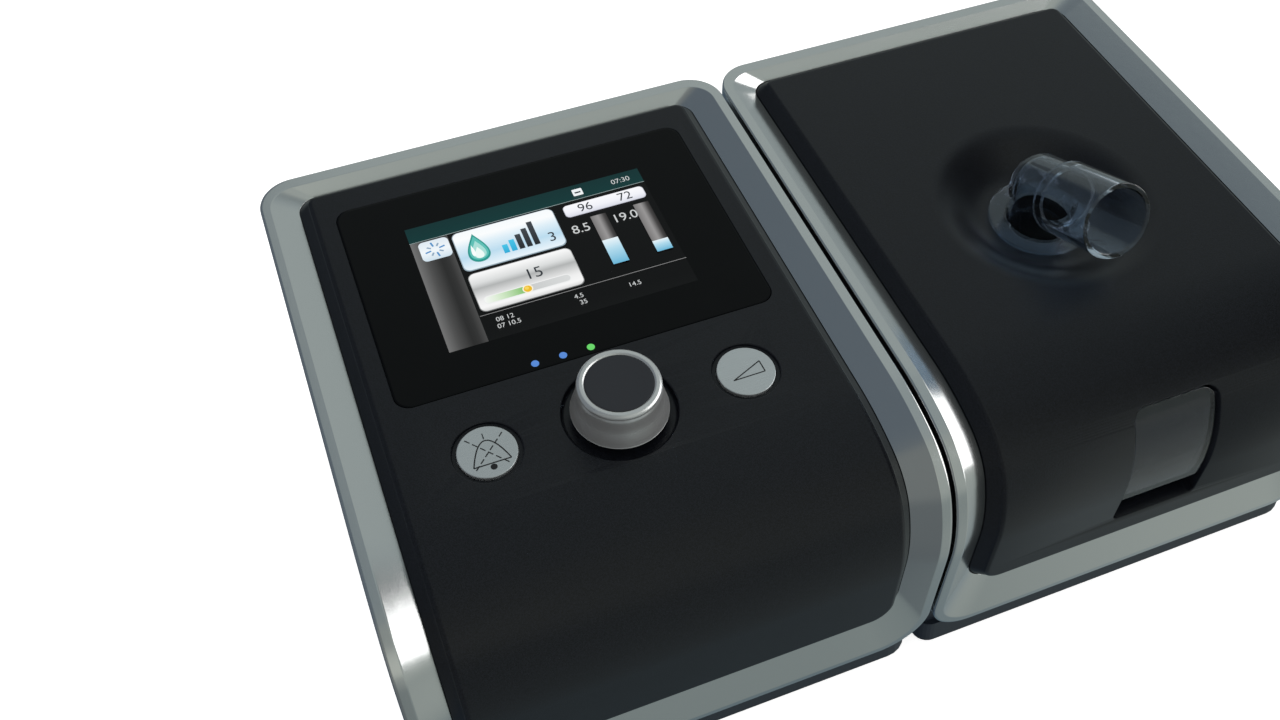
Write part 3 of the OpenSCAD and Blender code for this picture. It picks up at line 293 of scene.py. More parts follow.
class SideLine:
    """Side line of a module: straight deck, three arcs and straight front.

    Arc i turns with radius r_i about c_i from slope a_i to a_(i+1), and
    c_(i+1) = c_i + (r_i - r_(i+1)) * (-sin a, cos a), so that the arcs meet without a corner.
    """

    def __init__(self, sizes):
        self.back = sizes.back
        self.radii = np.array(sizes.radii)
        self.slopes = np.concatenate([[0], sizes.turns])
        arcs = np.cumsum(self.radii * np.diff(self.slopes))
        self.starts = sizes.back + sizes.reach + np.concatenate([[0], arcs])
        self.centres = [np.array([-sizes.reach, -self.radii[0]])]
        for i in (0, 1):
            turn = self.slopes[i + 1]
            step = (self.radii[i] - self.radii[i + 1]) * np.array([-math.sin(turn), math.cos(turn)])
            self.centres.append(self.centres[i] + step)
        self.end = self.starts[3] + sizes.front

    def at(self, t, depth):
        """v and w at length t round the line and at a depth under it."""
        t, depth = np.broadcast_arrays(np.asarray(t, float), depth)
        v, w = self.back - t, -depth * 1.0
        for i in range(3):
            slope = self.slopes[i] + (np.minimum(t, self.starts[i + 1]) - self.starts[i]) / self.radii[i]
            on = t > self.starts[i]
            v = np.where(on, self.centres[i][0] - (self.radii[i] - depth) * np.sin(slope), v)
            w = np.where(on, self.centres[i][1] + (self.radii[i] - depth) * np.cos(slope), w)
        past = np.maximum(t - self.starts[3], 0)
        return v - past * math.cos(self.slopes[3]), w - past * math.sin(self.slopes[3])

    def stations(self, first=0.0, last=1.0, steps=(14, 24, 16)):
        """Lengths along the nose between two lengths, even on each arc."""
        arcs = [np.linspace(start, end, n, endpoint=False)
                for start, end, n in zip(self.starts, self.starts[1:], steps)]
        t = np.concatenate([*arcs, [self.starts[3]]])
        return t[(t > first) & (t < last)]


def on_deck(origin, points):
    """Deck points (u right, v back, w out) in the part's frame: origin + u RIGHT + v BACK + w NORMAL."""
    return origin + np.asarray(points).reshape(-1, 3) @ np.array([RIGHT, BACK, NORMAL])


def quarter_turn(steps):
    """Sines and cosines of a quarter turn in even steps."""
    f = np.linspace(0, math.pi / 2, steps + 1)
    return np.sin(f), np.cos(f)


def weave(rows, columns, wrap_rows=False, wrap_columns=True):
    """Four-sided faces between neighbouring rows and columns of a grid of points."""
    i = np.arange(rows if wrap_rows else rows - 1)[:, None]
    j = np.arange(columns if wrap_columns else columns - 1)[None, :]
    i2, j2 = (i + 1) % rows, (j + 1) % columns
    corners = np.stack([i * columns + j, i * columns + j2, i2 * columns + j2, i2 * columns + j], -1)
    return corners.reshape(-1, 4).tolist()


def soften(path, reach, steps=5, closed=False):
    """Path with rounded corners: corner P becomes (1-s)^2 A + 2 s (1-s) P + s^2 B.

    A and B lie `reach` from P on its two edges. A further point on each edge keeps the flats flat.
    """
    path = np.asarray(path, float)
    reach = np.broadcast_to(np.asarray(reach, float), len(path))
    s = np.linspace(0, 1, steps + 1)[:, None]
    rows = []
    for i, corner in enumerate(path):
        if reach[i] == 0 or (not closed and i in (0, len(path) - 1)):
            rows.append(corner[None])
            continue
        edges = [path[i - 1] - corner, path[(i + 1) % len(path)] - corner]
        a, b = (corner + e * min(reach[i] / math.hypot(e[0], e[-1]), 0.36) for e in edges)
        arc = (1 - s) ** 2 * a + 2 * s * (1 - s) * corner + s**2 * b
        rows.append(np.vstack([a + (a - corner) * 0.3, arc, b + (b - corner) * 0.3]))
    return np.vstack(rows)


def wrapped_loop(line, section, stations, steps=14):
    """Closed loop of deck points wrapped over the side line.

    A section is half width h, first and last length, back and front corner radii, and depth. A
    corner is a quarter turn, u = h - r + r sin f and t = t0 + r - r cos f, and the left side is
    the right one with u turned round.
    """
    half, first, last, back, front, depth = section
    sin, cos = quarter_turn(steps)
    straight = np.full(len(stations), half)
    u = np.concatenate([half - back + back * sin, straight, half - front + front * cos])
    t = np.concatenate([first + back - back * cos, stations, last - front + front * sin])
    v, w = line.at(t, depth)
    side = np.stack([u, v, w], -1)
    return np.concatenate([side, side[::-1] * (-1, 1, 1)])


def wrapped_ring(line, sections, stations):
    """Closed ring: the sections' loops one after another, the last joined to the first."""
    loops = np.array([wrapped_loop(line, s, stations) for s in sections])
    return loops.reshape(-1, 3), weave(len(sections), loops.shape[1], wrap_rows=True)


def wrapped_plate(line, sections, stations):
    """Closed plate: loops from the underside up, its two faces made of strips from side to side."""
    loops = np.array([wrapped_loop(line, s, stations) for s in sections])
    n = loops.shape[1]
    i = np.arange(n // 2 - 1)
    strips = np.stack([i, i + 1, n - 2 - i, n - 1 - i], -1)
    faces = weave(len(sections), n) + strips.tolist() + (strips + (len(sections) - 1) * n).tolist()
    return loops.reshape(-1, 3), faces


def lathe(outline, turns=96, centre=(0, 0), ring=False):
    """Outline of (radius, height) turned about an axis: (radius cos a, radius sin a, height)."""
    outline = np.asarray(outline, float)
    a = np.linspace(0, 2 * math.pi, turns, endpoint=False)
    radius, height = outline[:, :1], outline[:, 1:]
    x, y = centre[0] + radius * np.cos(a), centre[1] + radius * np.sin(a)
    points = np.stack(np.broadcast_arrays(x, y, height), -1)
    return points.reshape(-1, 3), weave(len(outline), turns, wrap_rows=ring)


def cylinder(radius, low, high, turns=96, centre=(0, 0)):
    """Closed cylinder between two heights."""
    return lathe([(0, low), (radius, low), (radius, high), (0, high)], turns, centre)


def profile(*corners):
    """Softened path from corners given as two coordinates and a reach in one row."""
    corners = np.array(corners)
    return soften(corners[:, :-1], corners[:, -1])


def rounded_loop(left, front, right, back, radius, steps=10):
    """Rectangle with quarter-turn corners, each a centre plus radius times (cos f, sin f)."""
    quarter = math.pi / 2
    f = np.linspace(0, quarter, steps + 1)
    centres = ((right - radius, back - radius), (left + radius, back - radius),
               (left + radius, front + radius), (right - radius, front + radius))
    corners = [np.stack([x + radius * np.cos(f + k * quarter), y + radius * np.sin(f + k * quarter)], -1)
               for k, (x, y) in enumerate(centres)]
    return np.concatenate(corners)


def stack_of_loops(loops, heights):
    """Closed prism through flat loops at given heights, with a single face at each end."""
    n = len(loops[0])
    points = np.concatenate([np.column_stack([loop, np.full(n, h)]) for loop, h in zip(loops, heights)])
    last = (len(loops) - 1) * n
    return points, weave(len(loops), n) + [list(range(n)), list(range(last, last + n))]


def block(left, right, front, back, low, high):
    """Plain block, used only to cut other shapes."""
    loop = np.array([[left, front], [right, front], [right, back], [left, back]])
    return stack_of_loops([loop, loop], [low, high])


def new_object(name, data):
    """Object linked to the scene."""
    thing = bpy.data.objects.new(name, data)
    bpy.context.scene.collection.objects.link(thing)
    return thing


def make_piece(name, points, faces):
    """Closed mesh object with merged doubles and faces that point outwards."""
    mesh = bpy.data.meshes.new(name)
    mesh.from_pydata(np.asarray(points).tolist(), [], faces)
    shape = bmesh.new()
    shape.from_mesh(mesh)
    bmesh.ops.remove_doubles(shape, verts=shape.verts, dist=1e-7)
    bmesh.ops.dissolve_degenerate(shape, edges=shape.edges, dist=1e-8)
    bmesh.ops.recalc_face_normals(shape, faces=shape.faces)
    shape.to_mesh(mesh)
    shape.free()
    return new_object(name, mesh)


def on_module(name, deck, shape):
    """Piece from a shape's deck points and faces, set on a module's deck."""
    return make_piece(name, on_deck(deck, shape[0]), shape[1])


def evaluated_mesh(thing):
    """Mesh of an object as its modifiers or its writing make it."""
    graph = bpy.context.evaluated_depsgraph_get()
    return bpy.data.meshes.new_from_object(thing.evaluated_get(graph))


def combine(piece, tools, operation="DIFFERENCE"):
    """The piece with other closed shapes cut from it or joined to it, and those shapes removed."""
    for tool in tools:
        change = piece.modifiers.new("Combine", "BOOLEAN")
        change.operation, change.solver, change.object = operation, "EXACT", tool
    mesh = evaluated_mesh(piece)
    if not mesh.polygons:
        raise RuntimeError(f"{piece.name} is empty after its cuts")
    piece.modifiers.clear()
    piece.data = mesh
    for tool in tools:
        bpy.data.objects.remove(tool)
    return piece


def dress(piece, body, finish, slot, replaced=(), crease=32.0):
    """Smooth shading with its creases, finish, and the body that the piece rides on."""
    mesh = piece.data
    mesh.name = piece.name
    mesh.polygons.foreach_set("use_smooth", np.ones(len(mesh.polygons), bool))
    mesh.set_sharp_from_angle(angle=math.radians(crease))
    mesh.materials.clear()
    mesh.materials.append(finish)
    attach(piece, body)
    if replaced:
        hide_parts(*replaced)
    if slot not in ("panel", "lens", "display"):
        bright_pieces().objects.link(piece)
    return piece


# --- Finishes -----------------------------------------------------------------


class Value:
    """A node's output in Python sums: each operator adds a Math node."""

    def __init__(self, finish, socket):
        self.finish, self.socket = finish, socket

    def math(self, operation, first, second):
        return self.finish.node("Math", {0: first, 1: second}, operation=operation)["Value"]

    def __add__(self, other):
        return self.math("ADD", self, other)

    def __sub__(self, other):
        return self.math("SUBTRACT", self, other)

    def __rsub__(self, other):
        return self.math("SUBTRACT", other, self)

    def __mul__(self, other):
        return self.math("MULTIPLY", self, other)

    __radd__ = __add__
    __rmul__ = __mul__


class Finish:
    """A node tree of a material or of the world, and the patterns that the finishes share."""

    def __init__(self, name, owner=None):
        self.owner = owner or bpy.data.materials.new(name)
        self.owner.use_nodes = True
        self.tree = self.owner.node_tree
        self.tree.nodes.clear()

    def node(self, kind, sockets=None, **options):
        """Adds a node, sets it, fills or links its sockets, and returns its outputs by name."""
        node = self.tree.nodes.new("ShaderNode" + kind)
        for name, value in options.items():
            setattr(node, name, value)
        for key, value in (sockets or {}).items():
            if isinstance(value, Value):
                self.tree.links.new(value.socket, node.inputs[key])
            else:
                node.inputs[key].default_value = value
        outputs = {}
        for socket in node.outputs:
            if socket.enabled and socket.name not in outputs:
                outputs[socket.name] = Value(self, socket)
        return outputs

    def place(self, stretch=(1, 1, 1)):
        """Object coordinates, stretched along the axes."""
        point = self.node("TexCoord")["Object"]
        return self.node("Mapping", {"Vector": point, "Scale": stretch})["Vector"]

    def vector(self, operation, *inputs, output="Value"):
        """Vector sum of the inputs: a length, a dot product or, as output Vector, a difference."""
        return self.node("VectorMath", dict(enumerate(inputs)), operation=operation)[output]

    def noise(self, size, detail=2.0, stretch=(1, 1, 1)):
        """Noise from 0 to 1 whose grains have the given size in millimetres."""
        sockets = {"Vector": self.place(stretch), "Scale": 1 / (size * MM), "Detail": detail}
        return self.node("TexNoise", sockets)["Fac"]

    def ramp(self, value, low, high, to_low=0.0, to_high=1.0):
        """Smooth step of a value from low to high."""
        sockets = {"Value": value, "From Min": low, "From Max": high, "To Min": to_low, "To Max": to_high}
        return self.node("MapRange", sockets, interpolation_type="SMOOTHSTEP")["Result"]

    def mix(self, factor, first, second):
        """Colour between two colours."""
        sockets = {"Factor": factor, 6: colour_value(first), 7: colour_value(second)}
        return self.node("Mix", sockets, data_type="RGBA")["Result"]

    def shades(self, factor, rgb, low, high):
        """Colour between a darker and a lighter tone of one colour."""
        return self.mix(factor, tone(rgb, low), tone(rgb, high))

    def bump(self, height, depth, normal=None):
        """Normal that follows a height from 0 to 1 over the given depth in millimetres."""
        sockets = {"Height": height, "Distance": depth * MM, "Strength": 1.0}
        if normal is not None:
            sockets["Normal"] = normal
        return self.node("Bump", sockets)["Normal"]

    def surface(self, **sockets):
        """Principled shader on the output; names are its sockets with underscores for spaces."""
        named = {name.replace("_", " "): value for name, value in sockets.items()}
        self.node("OutputMaterial", {"Surface": self.node("BsdfPrincipled", named)["BSDF"]})
        return self.owner


def colour_value(value):
    """A colour with its fourth number, or a link as it is."""
    return value if isinstance(value, Value) else (*tuple(value)[:3], 1.0)


def tone(rgb, factor):
    """A colour made lighter or darker."""
    return tuple(min(c * factor, 1.0) for c in tuple(rgb)[:3])


def satin_silver(rgb):
    """Silver paint: fine metal flakes that tilt the surface a little, and faint orange peel."""
    finish = Finish("satin silver")
    flakes = finish.noise(0.16, 2)
    peel = finish.noise(3.5, 2)
    normal = finish.bump(peel, 0.010, finish.bump(flakes, 0.0022))
    return finish.surface(
        Base_Color=finish.shades(flakes, rgb, 0.93, 1.04),
        Metallic=1.0,
        Roughness=0.17 + (flakes - 0.5) * 0.08 + (finish.noise(22, 3) - 0.5) * 0.05,
        Normal=normal,
    )


def satin_black(rgb, name="satin black", roughness=0.33):
    """Moulded black plastic with a fine spark-eroded grain and faint handling marks."""
    finish = Finish(name)
    grain = finish.noise(0.42, 3)
    broad = finish.noise(30, 3)
    return finish.surface(
        Base_Color=finish.shades(finish.ramp(grain, 0.3, 0.7), rgb, 0.55, 1.6),
        Roughness=roughness + (grain - 0.5) * 0.14 + (broad - 0.5) * 0.08,
        Specular_IOR_Level=0.42,
        Normal=finish.bump(grain, 0.03),
    )


def gloss_black(rgb):
    """Glossy lens: almost black, with a faint dust haze in its polish."""
    finish = Finish("gloss black")
    haze = finish.noise(9, 4)
    return finish.surface(
        Base_Color=finish.shades(haze, rgb, 0.9, 1.15),
        Roughness=0.06 + haze * 0.05,
        Specular_IOR_Level=0.12,
    )


def brushed(rgb, name="brushed face", roughness=0.3):
    """Metal with fine straight brush lines from side to side."""
    finish = Finish(name)
    lines = finish.noise(0.18, 3, (0.02, 1, 1))
    return finish.surface(
        Base_Color=finish.shades(lines, rgb, 0.9, 1.08),
        Metallic=0.75,
        Roughness=roughness + (lines - 0.5) * 0.16,
        Normal=finish.bump(lines, 0.0025),
    )


def turned(rgb, centre, name="turned skirt", roughness=0.3):
    """Lathe-turned metal: fine rings about the axis through centre along the deck's normal."""
    finish = Finish(name)
    point = finish.node("TexCoord")["Object"]
    offset = finish.vector("SUBTRACT", point, tuple(centre), output="Vector")
    height = finish.vector("DOT_PRODUCT", offset, tuple(NORMAL)) * RINGS_PER_METRE
    reach = finish.vector("LENGTH", offset) * RINGS_PER_METRE
    along = finish.node("CombineXYZ", {"X": height, "Y": reach})["Vector"]
    rings = finish.node("TexNoise", {"Vector": along, "Scale": 1.0, "Detail": 2.0})["Fac"]
    return finish.surface(
        Base_Color=finish.shades(rings, rgb, 0.9, 1.06),
        Metallic=0.84,
        Roughness=roughness + (rings - 0.5) * 0.12,
        Normal=finish.bump(rings, 0.002),
    )


def moulded(name, rgb, roughness=0.5, grain=0.35, depth=0.015, metallic=0.0, coat=0.0):
    """Moulded or cast finish: grain of a given size in millimetres and broad changes of tone."""
    finish = Finish(name)
    fine = finish.noise(grain, 3)
    broad = finish.noise(24, 3)
    return finish.surface(
        Base_Color=finish.shades(broad, rgb, 0.86, 1.12),
        Metallic=metallic,
        Roughness=roughness + (fine - 0.5) * 0.18 + (broad - 0.5) * 0.08,
        Coat_Weight=coat,
        Normal=finish.bump(fine, depth),
    )


def clear_plastic(rgb, name="clear plastic", roughness=0.02, bend=1.12):
    """Clear moulded plastic that bends light little, under a clear gloss, with slight flow waves."""
    finish = Finish(name)
    waves = finish.noise(7, 2)
    return finish.surface(
        Base_Color=colour_value(rgb),
        Roughness=roughness + waves * 0.02,
        IOR=bend,
        Transmission_Weight=1.0,
        Coat_Weight=1.0,
        Coat_Roughness=0.03,
        Coat_IOR=1.52,
        Normal=finish.bump(waves, 0.02),
    )


def solder_mask(rgb):
    """Circuit board: solder mask over copper tracks that show as slightly raised, paler lines."""
    finish = Finish("solder mask")
    sockets = {"Vector": finish.place(), "Scale": 260.0}
    cells = finish.node("TexVoronoi", sockets, distance="MANHATTAN", feature="F1")["Distance"]
    tracks = finish.ramp(cells, 0.42, 0.5)
    return finish.surface(
        Base_Color=finish.shades(tracks, rgb, 0.8, 1.7),
        Roughness=0.32 + (finish.noise(0.5, 2) - 0.5) * 0.1,
        Coat_Weight=0.4,
        Normal=finish.bump(tracks, 0.02),
    )


def fibre_pad(rgb):
    """Felted filter pad: fibres in two directions."""
    finish = Finish("fibre pad")
    fibres = finish.noise(0.5, 4, (0.25, 1, 1)) * 0.5 + finish.noise(0.5, 4, (1, 1, 0.25)) * 0.5
    return finish.surface(
        Base_Color=finish.shades(fibres, rgb, 0.7, 1.12),
        Roughness=0.92,
        Normal=finish.bump(fibres, 0.3),
    )


def lit_ink(name="lit ink"):
    """Picture that shines with the colours stored on its points."""
    finish = Finish(name)
    ink = finish.node("Attribute", attribute_name="ink")["Color"]
    return finish.surface(
        Base_Color=(0.002, 0.002, 0.002, 1), Roughness=0.12, Specular_IOR_Level=0.2, Emission_Color=ink,
        Emission_Strength=1.0,
    )


def glow(name, rgb):
    """Status light: glows in its colour with a faint grain, as seen through the lens."""
    finish = Finish(name)
    grain = finish.noise(0.4, 2)
    return finish.surface(
        Base_Color=(*tone(rgb, 0.2), 1), Roughness=0.2,
        Emission_Color=finish.shades(grain, rgb, 0.93, 1.03), Emission_Strength=0.95,
    )


# --- Flat drawings on the deck --------------------------------------------------


class Drawing:
    """Flat coloured shapes on the deck, each a little higher than the one before.

    x runs to the right and y to the back, in metres from the drawing's corner.
    """

    def __init__(self, origin, corner, height):
        self.origin, self.corner, self.height = origin, np.array(corner), height
        self.points, self.faces, self.colours, self.count = [], [], [], 0

    def add(self, points, faces, colours, rise=0.012 * MM):
        """Adds one shape of flat points, faces and a colour for each point."""
        points = np.asarray(points, float)
        self.height += rise
        self.points.append(np.column_stack([points + self.corner, np.full(len(points), self.height)]))
        self.faces += [[int(i) + self.count for i in face] for face in faces]
        self.colours.append(np.broadcast_to(np.asarray(colours, float), (len(points), 3)))
        self.count += len(points)

    def outline(self, points, rgb):
        """One filled shape in one colour."""
        self.add(points, [range(len(points))], linear(*rgb))

    def panel(self, left, front, right, back, radius, stops, across=False):
        """Rectangle with quarter-turn corners and a colour, or a grey number, that runs along it.

        Rows lie across it, and within a radius r of an end the row at distance d from it is
        pulled in by r - sqrt(r^2 - (r - d)^2).
        """
        r = radius * MM
        ends = (left, right, front, back) if across else (front, back, left, right)
        a0, a1, b0, b1 = np.array(ends) * MM
        bend = r * (1 - quarter_turn(8)[1])
        a = np.unique(np.concatenate([a0 + bend, np.linspace(a0 + r, a1 - r, 12), a1 - bend]))
        d = np.clip(r - np.minimum(a - a0, a1 - a), 0, r)
        inset = r - np.sqrt(np.maximum(r**2 - d**2, 0))
        rows = np.stack([np.stack([b0 + inset, a], -1), np.stack([b1 - inset, a], -1)], 1)
        if across:
            rows = rows[..., ::-1]
        places, colours = zip(*stops)
        shade = np.array([linear(*np.broadcast_to(c, 3)) for c in colours])
        at = (a - a0) / (a1 - a0)
        tint = np.stack([np.interp(at, places, shade[:, k]) for k in range(3)], -1)
        faces = weave(len(a), 2, wrap_columns=False)
        self.add(rows.reshape(-1, 2), [f[::-1] for f in faces] if across else faces, np.repeat(tint, 2, 0))

    def disc(self, x, y, radius, rgb, steps=40):
        """Circle: centre plus radius times (cos a, sin a)."""
        a = np.linspace(0, 2 * math.pi, steps, endpoint=False)
        self.outline(np.array([x, y]) * MM + radius * MM * np.stack([np.cos(a), np.sin(a)], -1), rgb)

    def line(self, path, width, rgb):
        """Line of even width: the path moved half a width to both sides along its normal."""
        path = np.asarray(path, float) * MM
        run = np.gradient(path, axis=0)
        side = np.stack([-run[:, 1], run[:, 0]], -1)
        side *= width * MM / 2 / np.linalg.norm(side, axis=1, keepdims=True)
        points = np.stack([path - side, path + side], 1).reshape(-1, 2)
        faces = [face[::-1] for face in weave(len(path), 2, wrap_columns=False)]
        self.add(points, faces, linear(*rgb), 0.004 * MM)

    def digits(self, text, x, y, size, rgb):
        """Plain numbers, with their lower left corner at x, y."""
        curve = bpy.data.curves.new("digits", "FONT")
        curve.body, curve.size = text, size * MM
        writing = new_object("digits", curve)
        mesh = evaluated_mesh(writing)
        flat = np.empty(len(mesh.vertices) * 3)
        mesh.vertices.foreach_get("co", flat)
        faces = [list(p.vertices) for p in mesh.polygons]
        self.add(flat.reshape(-1, 3)[:, :2] + np.array([x, y]) * MM, faces, linear(*rgb))
        bpy.data.objects.remove(writing)

    def piece(self, name):
        """The shapes as one mesh, with the colours as its attribute."""
        mesh = bpy.data.meshes.new(name)
        mesh.from_pydata(on_deck(self.origin, np.concatenate(self.points)).tolist(), [], self.faces)
        colours = np.concatenate(self.colours)
        ink = mesh.color_attributes.new("ink", "FLOAT_COLOR", "POINT")
        ink.data.foreach_set("color", np.column_stack([colours, np.ones(len(colours))]).ravel())
        return new_object(name, mesh)


def dashed(start, end, dashes, share=0.66):
    """Straight line from start to end as separate dashes, each with a share of its step."""
    start, end = np.array(start, float), np.array(end, float)
    steps = np.arange(dashes) / dashes
    return [[start + (end - start) * s, start + (end - start) * (s + share / dashes)] for s in steps]


def settings():
    """The values in the sidebar."""
    return bpy.context.scene.breathing_machine


# --- Shells ---------------------------------------------------------------------


def frame_sections(sizes, half, end):
    """Corners of the frame's cross-section: outer foot, outer edge, crease, inner edge, inner foot."""
    side, back = sizes.ring_side + sizes.band_side, sizes.ring_back + sizes.band_back
    front = end - sizes.ring_front - sizes.band_front
    outer = (half, 0, end, sizes.corner_back, sizes.corner_front)
    crease = (half - sizes.ring_side, sizes.ring_back, end - sizes.ring_front,
              sizes.corner_back - sizes.ring_side, sizes.corner_front - sizes.ring_front)
    inner = (half - side, back, front, sizes.field_back, sizes.field_front)
    foot = sizes.thickness
    return [(*outer, foot), (*outer, 0), (*crease, 0), (*inner, sizes.band_depth), (*inner, foot)]


def field_plate(s, node, gap, clearance, line):
    """Black field in a frame: plate whose edge rises from the underside up to the flat of the field.

    Each step is the distance in from the frame, the depth, and the reach of its rounding.
    """
    fr, fd = s.frames, s.field
    a = width_of(node) / 2 - fr.ring_side - fr.band_side - gap
    t0 = fr.ring_back + fr.band_back + gap
    t1 = line.end - fr.ring_front - fr.band_front - gap
    slope = fd.bevel - fd.lip
    steps = [
        (0, fr.thickness - clearance, 0), (0, fr.band_depth, 0.25 * MM), (slope, fd.lip_depth, 0.5 * MM),
        (slope + 0.3 * MM, fd.lip_depth / 2, 0.15 * MM), (fd.bevel, 0, 0.5 * MM),
        (fd.bevel + 1.2 * MM, 0, 0),
    ]
    back, front = fr.field_back - gap, fr.field_front - gap
    edge = profile(*((a - i, t0 + i, t1 - i, back - i, front - i, *step) for i, *step in steps))
    return wrapped_plate(line, edge, line.stations())


class MACHINE_OT_frames(Operator):
    """Silver frames of both modules, with rounded edges and a soft crease"""

    bl_idname = "machine.frames"
    bl_label = "Frames"

    def execute(self, context):
        s = settings()
        line = SideLine(s.line)
        paint = satin_silver(s.colours.silver)
        rounding = (0.25 * MM, s.frames.edge, s.frames.crease, 0.1 * MM, 0.25 * MM)
        modules = (("main_frame", "main_unit", MAIN_DECK), ("humidifier_frame", "humidifier", LID_DECK))
        for node, body, origin in modules:
            corners = frame_sections(s.frames, width_of(node) / 2, line.end)
            shape = wrapped_ring(line, soften(corners, rounding, closed=True), line.stations())
            ring = on_module(node + "_ring", origin, shape)
            dress(ring, body, paint, "frame", (node,), crease=26)
        return {"FINISHED"}


class MACHINE_OT_fascia(Operator):
    """Black field of the main unit, with the lens's pocket and the recesses of knob and buttons"""

    bl_idname = "machine.fascia"
    bl_label = "Fascia"

    def execute(self, context):
        s = settings()
        sc, co = s.screen, s.controls
        line = SideLine(s.line)
        fascia = on_module("fascia", MAIN_DECK, field_plate(s, "main_frame", s.field.gap, 0, line))

        under = -s.frames.thickness - MM
        play = 0.12 * MM
        half, back = sc.lens_width / 2 + play, sc.lens_start + sc.lens_length + play
        loops = [rounded_loop(-half - x, sc.lens_start - play - x, half + x, back + x, sc.lens_corner + x)
                 for x in (0, 0, play, play)]
        wide, long = sc.picture_width / 2 + MM, sc.picture_length / 2 + MM
        shapes = [
            stack_of_loops(loops, (-sc.lens_thickness, -0.15 * MM, 0.0, MM)),
            block(-wide, wide, sc.picture_centre - long, sc.picture_centre + long, under, -MM),
            lathe(recess_outline(co.knob_recess, co.knob_recess_depth, 0.9 * MM, 0.55 * MM), 128),
            cylinder(4.2 * MM, under, -MM),
        ]
        hole = co.button_radius + 0.2 * MM
        shaft = [(0, under), (hole + 1.3 * MM, under), (hole + 1.3 * MM, -3 * MM), (hole, -3 * MM),
                 (hole, -0.5 * MM), (0, -0.5 * MM)]
        for x in (-co.button_place, co.button_place):
            recess = recess_outline(co.button_recess, co.recess_depth, 0.25 * MM, 0.35 * MM)
            shapes += [lathe(recess, centre=(x, 0)), lathe(shaft, centre=(x, 0))]
        hole = sc.light_radius + 0.05 * MM
        shapes += [cylinder(hole, under, -MM, 32, light_place(sc, i)) for i in range(3)]
        combine(fascia, [on_module("cut", MAIN_DECK, shape) for shape in shapes])
        dress(fascia, "main_unit", satin_black(s.colours.black), "panel", ("fascia_panel",))
        return {"FINISHED"}


def light_place(sizes, i):
    """Middle of a status light on the deck."""
    return sizes.light_start + i * sizes.light_step, sizes.lens_start + sizes.light_edge


def recess_outline(radius, depth, fillet, lip):
    """Outline of a round recess's cutter: quarter-turn fillet at the floor, rounded lip at the top."""
    sin, cos = quarter_turn(6)
    floor = np.stack([radius - fillet + fillet * sin, -depth + fillet - fillet * cos], -1)
    rim = np.stack([radius + lip - lip * cos, -lip + lip * sin], -1)
    return np.concatenate([[[0, -depth]], floor, rim, [[radius + lip, MM], [0, MM]]])


class MACHINE_OT_screen(Operator):
    """Glossy lens, the lit picture with plain numbers, and the status lights"""

    bl_idname = "machine.screen"
    bl_label = "Screen"

    def execute(self, context):
        s = settings()
        sc = s.screen
        insets = (0.1 * MM, 0, 0, 0.05 * MM, 0.16 * MM, 0.6 * MM)
        heights = (-sc.lens_thickness, -sc.lens_thickness + 0.1 * MM, -0.16 * MM, -0.05 * MM, 0, 0)
        half, back = sc.lens_width / 2, sc.lens_start + sc.lens_length
        loops = [rounded_loop(-half + x, sc.lens_start + x, half - x, back - x, sc.lens_corner - x)
                 for x in insets]
        lens = on_module("screen_glass", MAIN_DECK, stack_of_loops(loops, heights))
        dress(lens, "main_unit", gloss_black(s.colours.lens), "lens", ("screen_lens",))

        corner = (-sc.picture_width / 2, sc.picture_centre - sc.picture_length / 2)
        picture = Drawing(MAIN_DECK, corner, 0.01 * MM)
        draw_picture(picture, sc.picture_width / MM, sc.picture_length / MM)
        dress(picture.piece("screen_picture"), "main_unit", lit_ink(), "display")

        r, blue = sc.light_radius, s.colours.blue_light
        low, rim, high = -0.1 * MM, 0.01 * MM, 0.03 * MM
        outline = [(0, low), (r, low), (r, rim), (r - 0.05 * MM, high), (0, high)]
        lights = (("blue_light_a", blue), ("blue_light_b", blue), ("green_light", s.colours.green_light))
        for i, (name, rgb) in enumerate(lights):
            dot = on_module(name, MAIN_DECK, lathe(outline, 48, light_place(sc, i)))
            dress(dot, "main_unit", glow(name.replace("_", " "), rgb), "light")
        return {"FINISHED"}


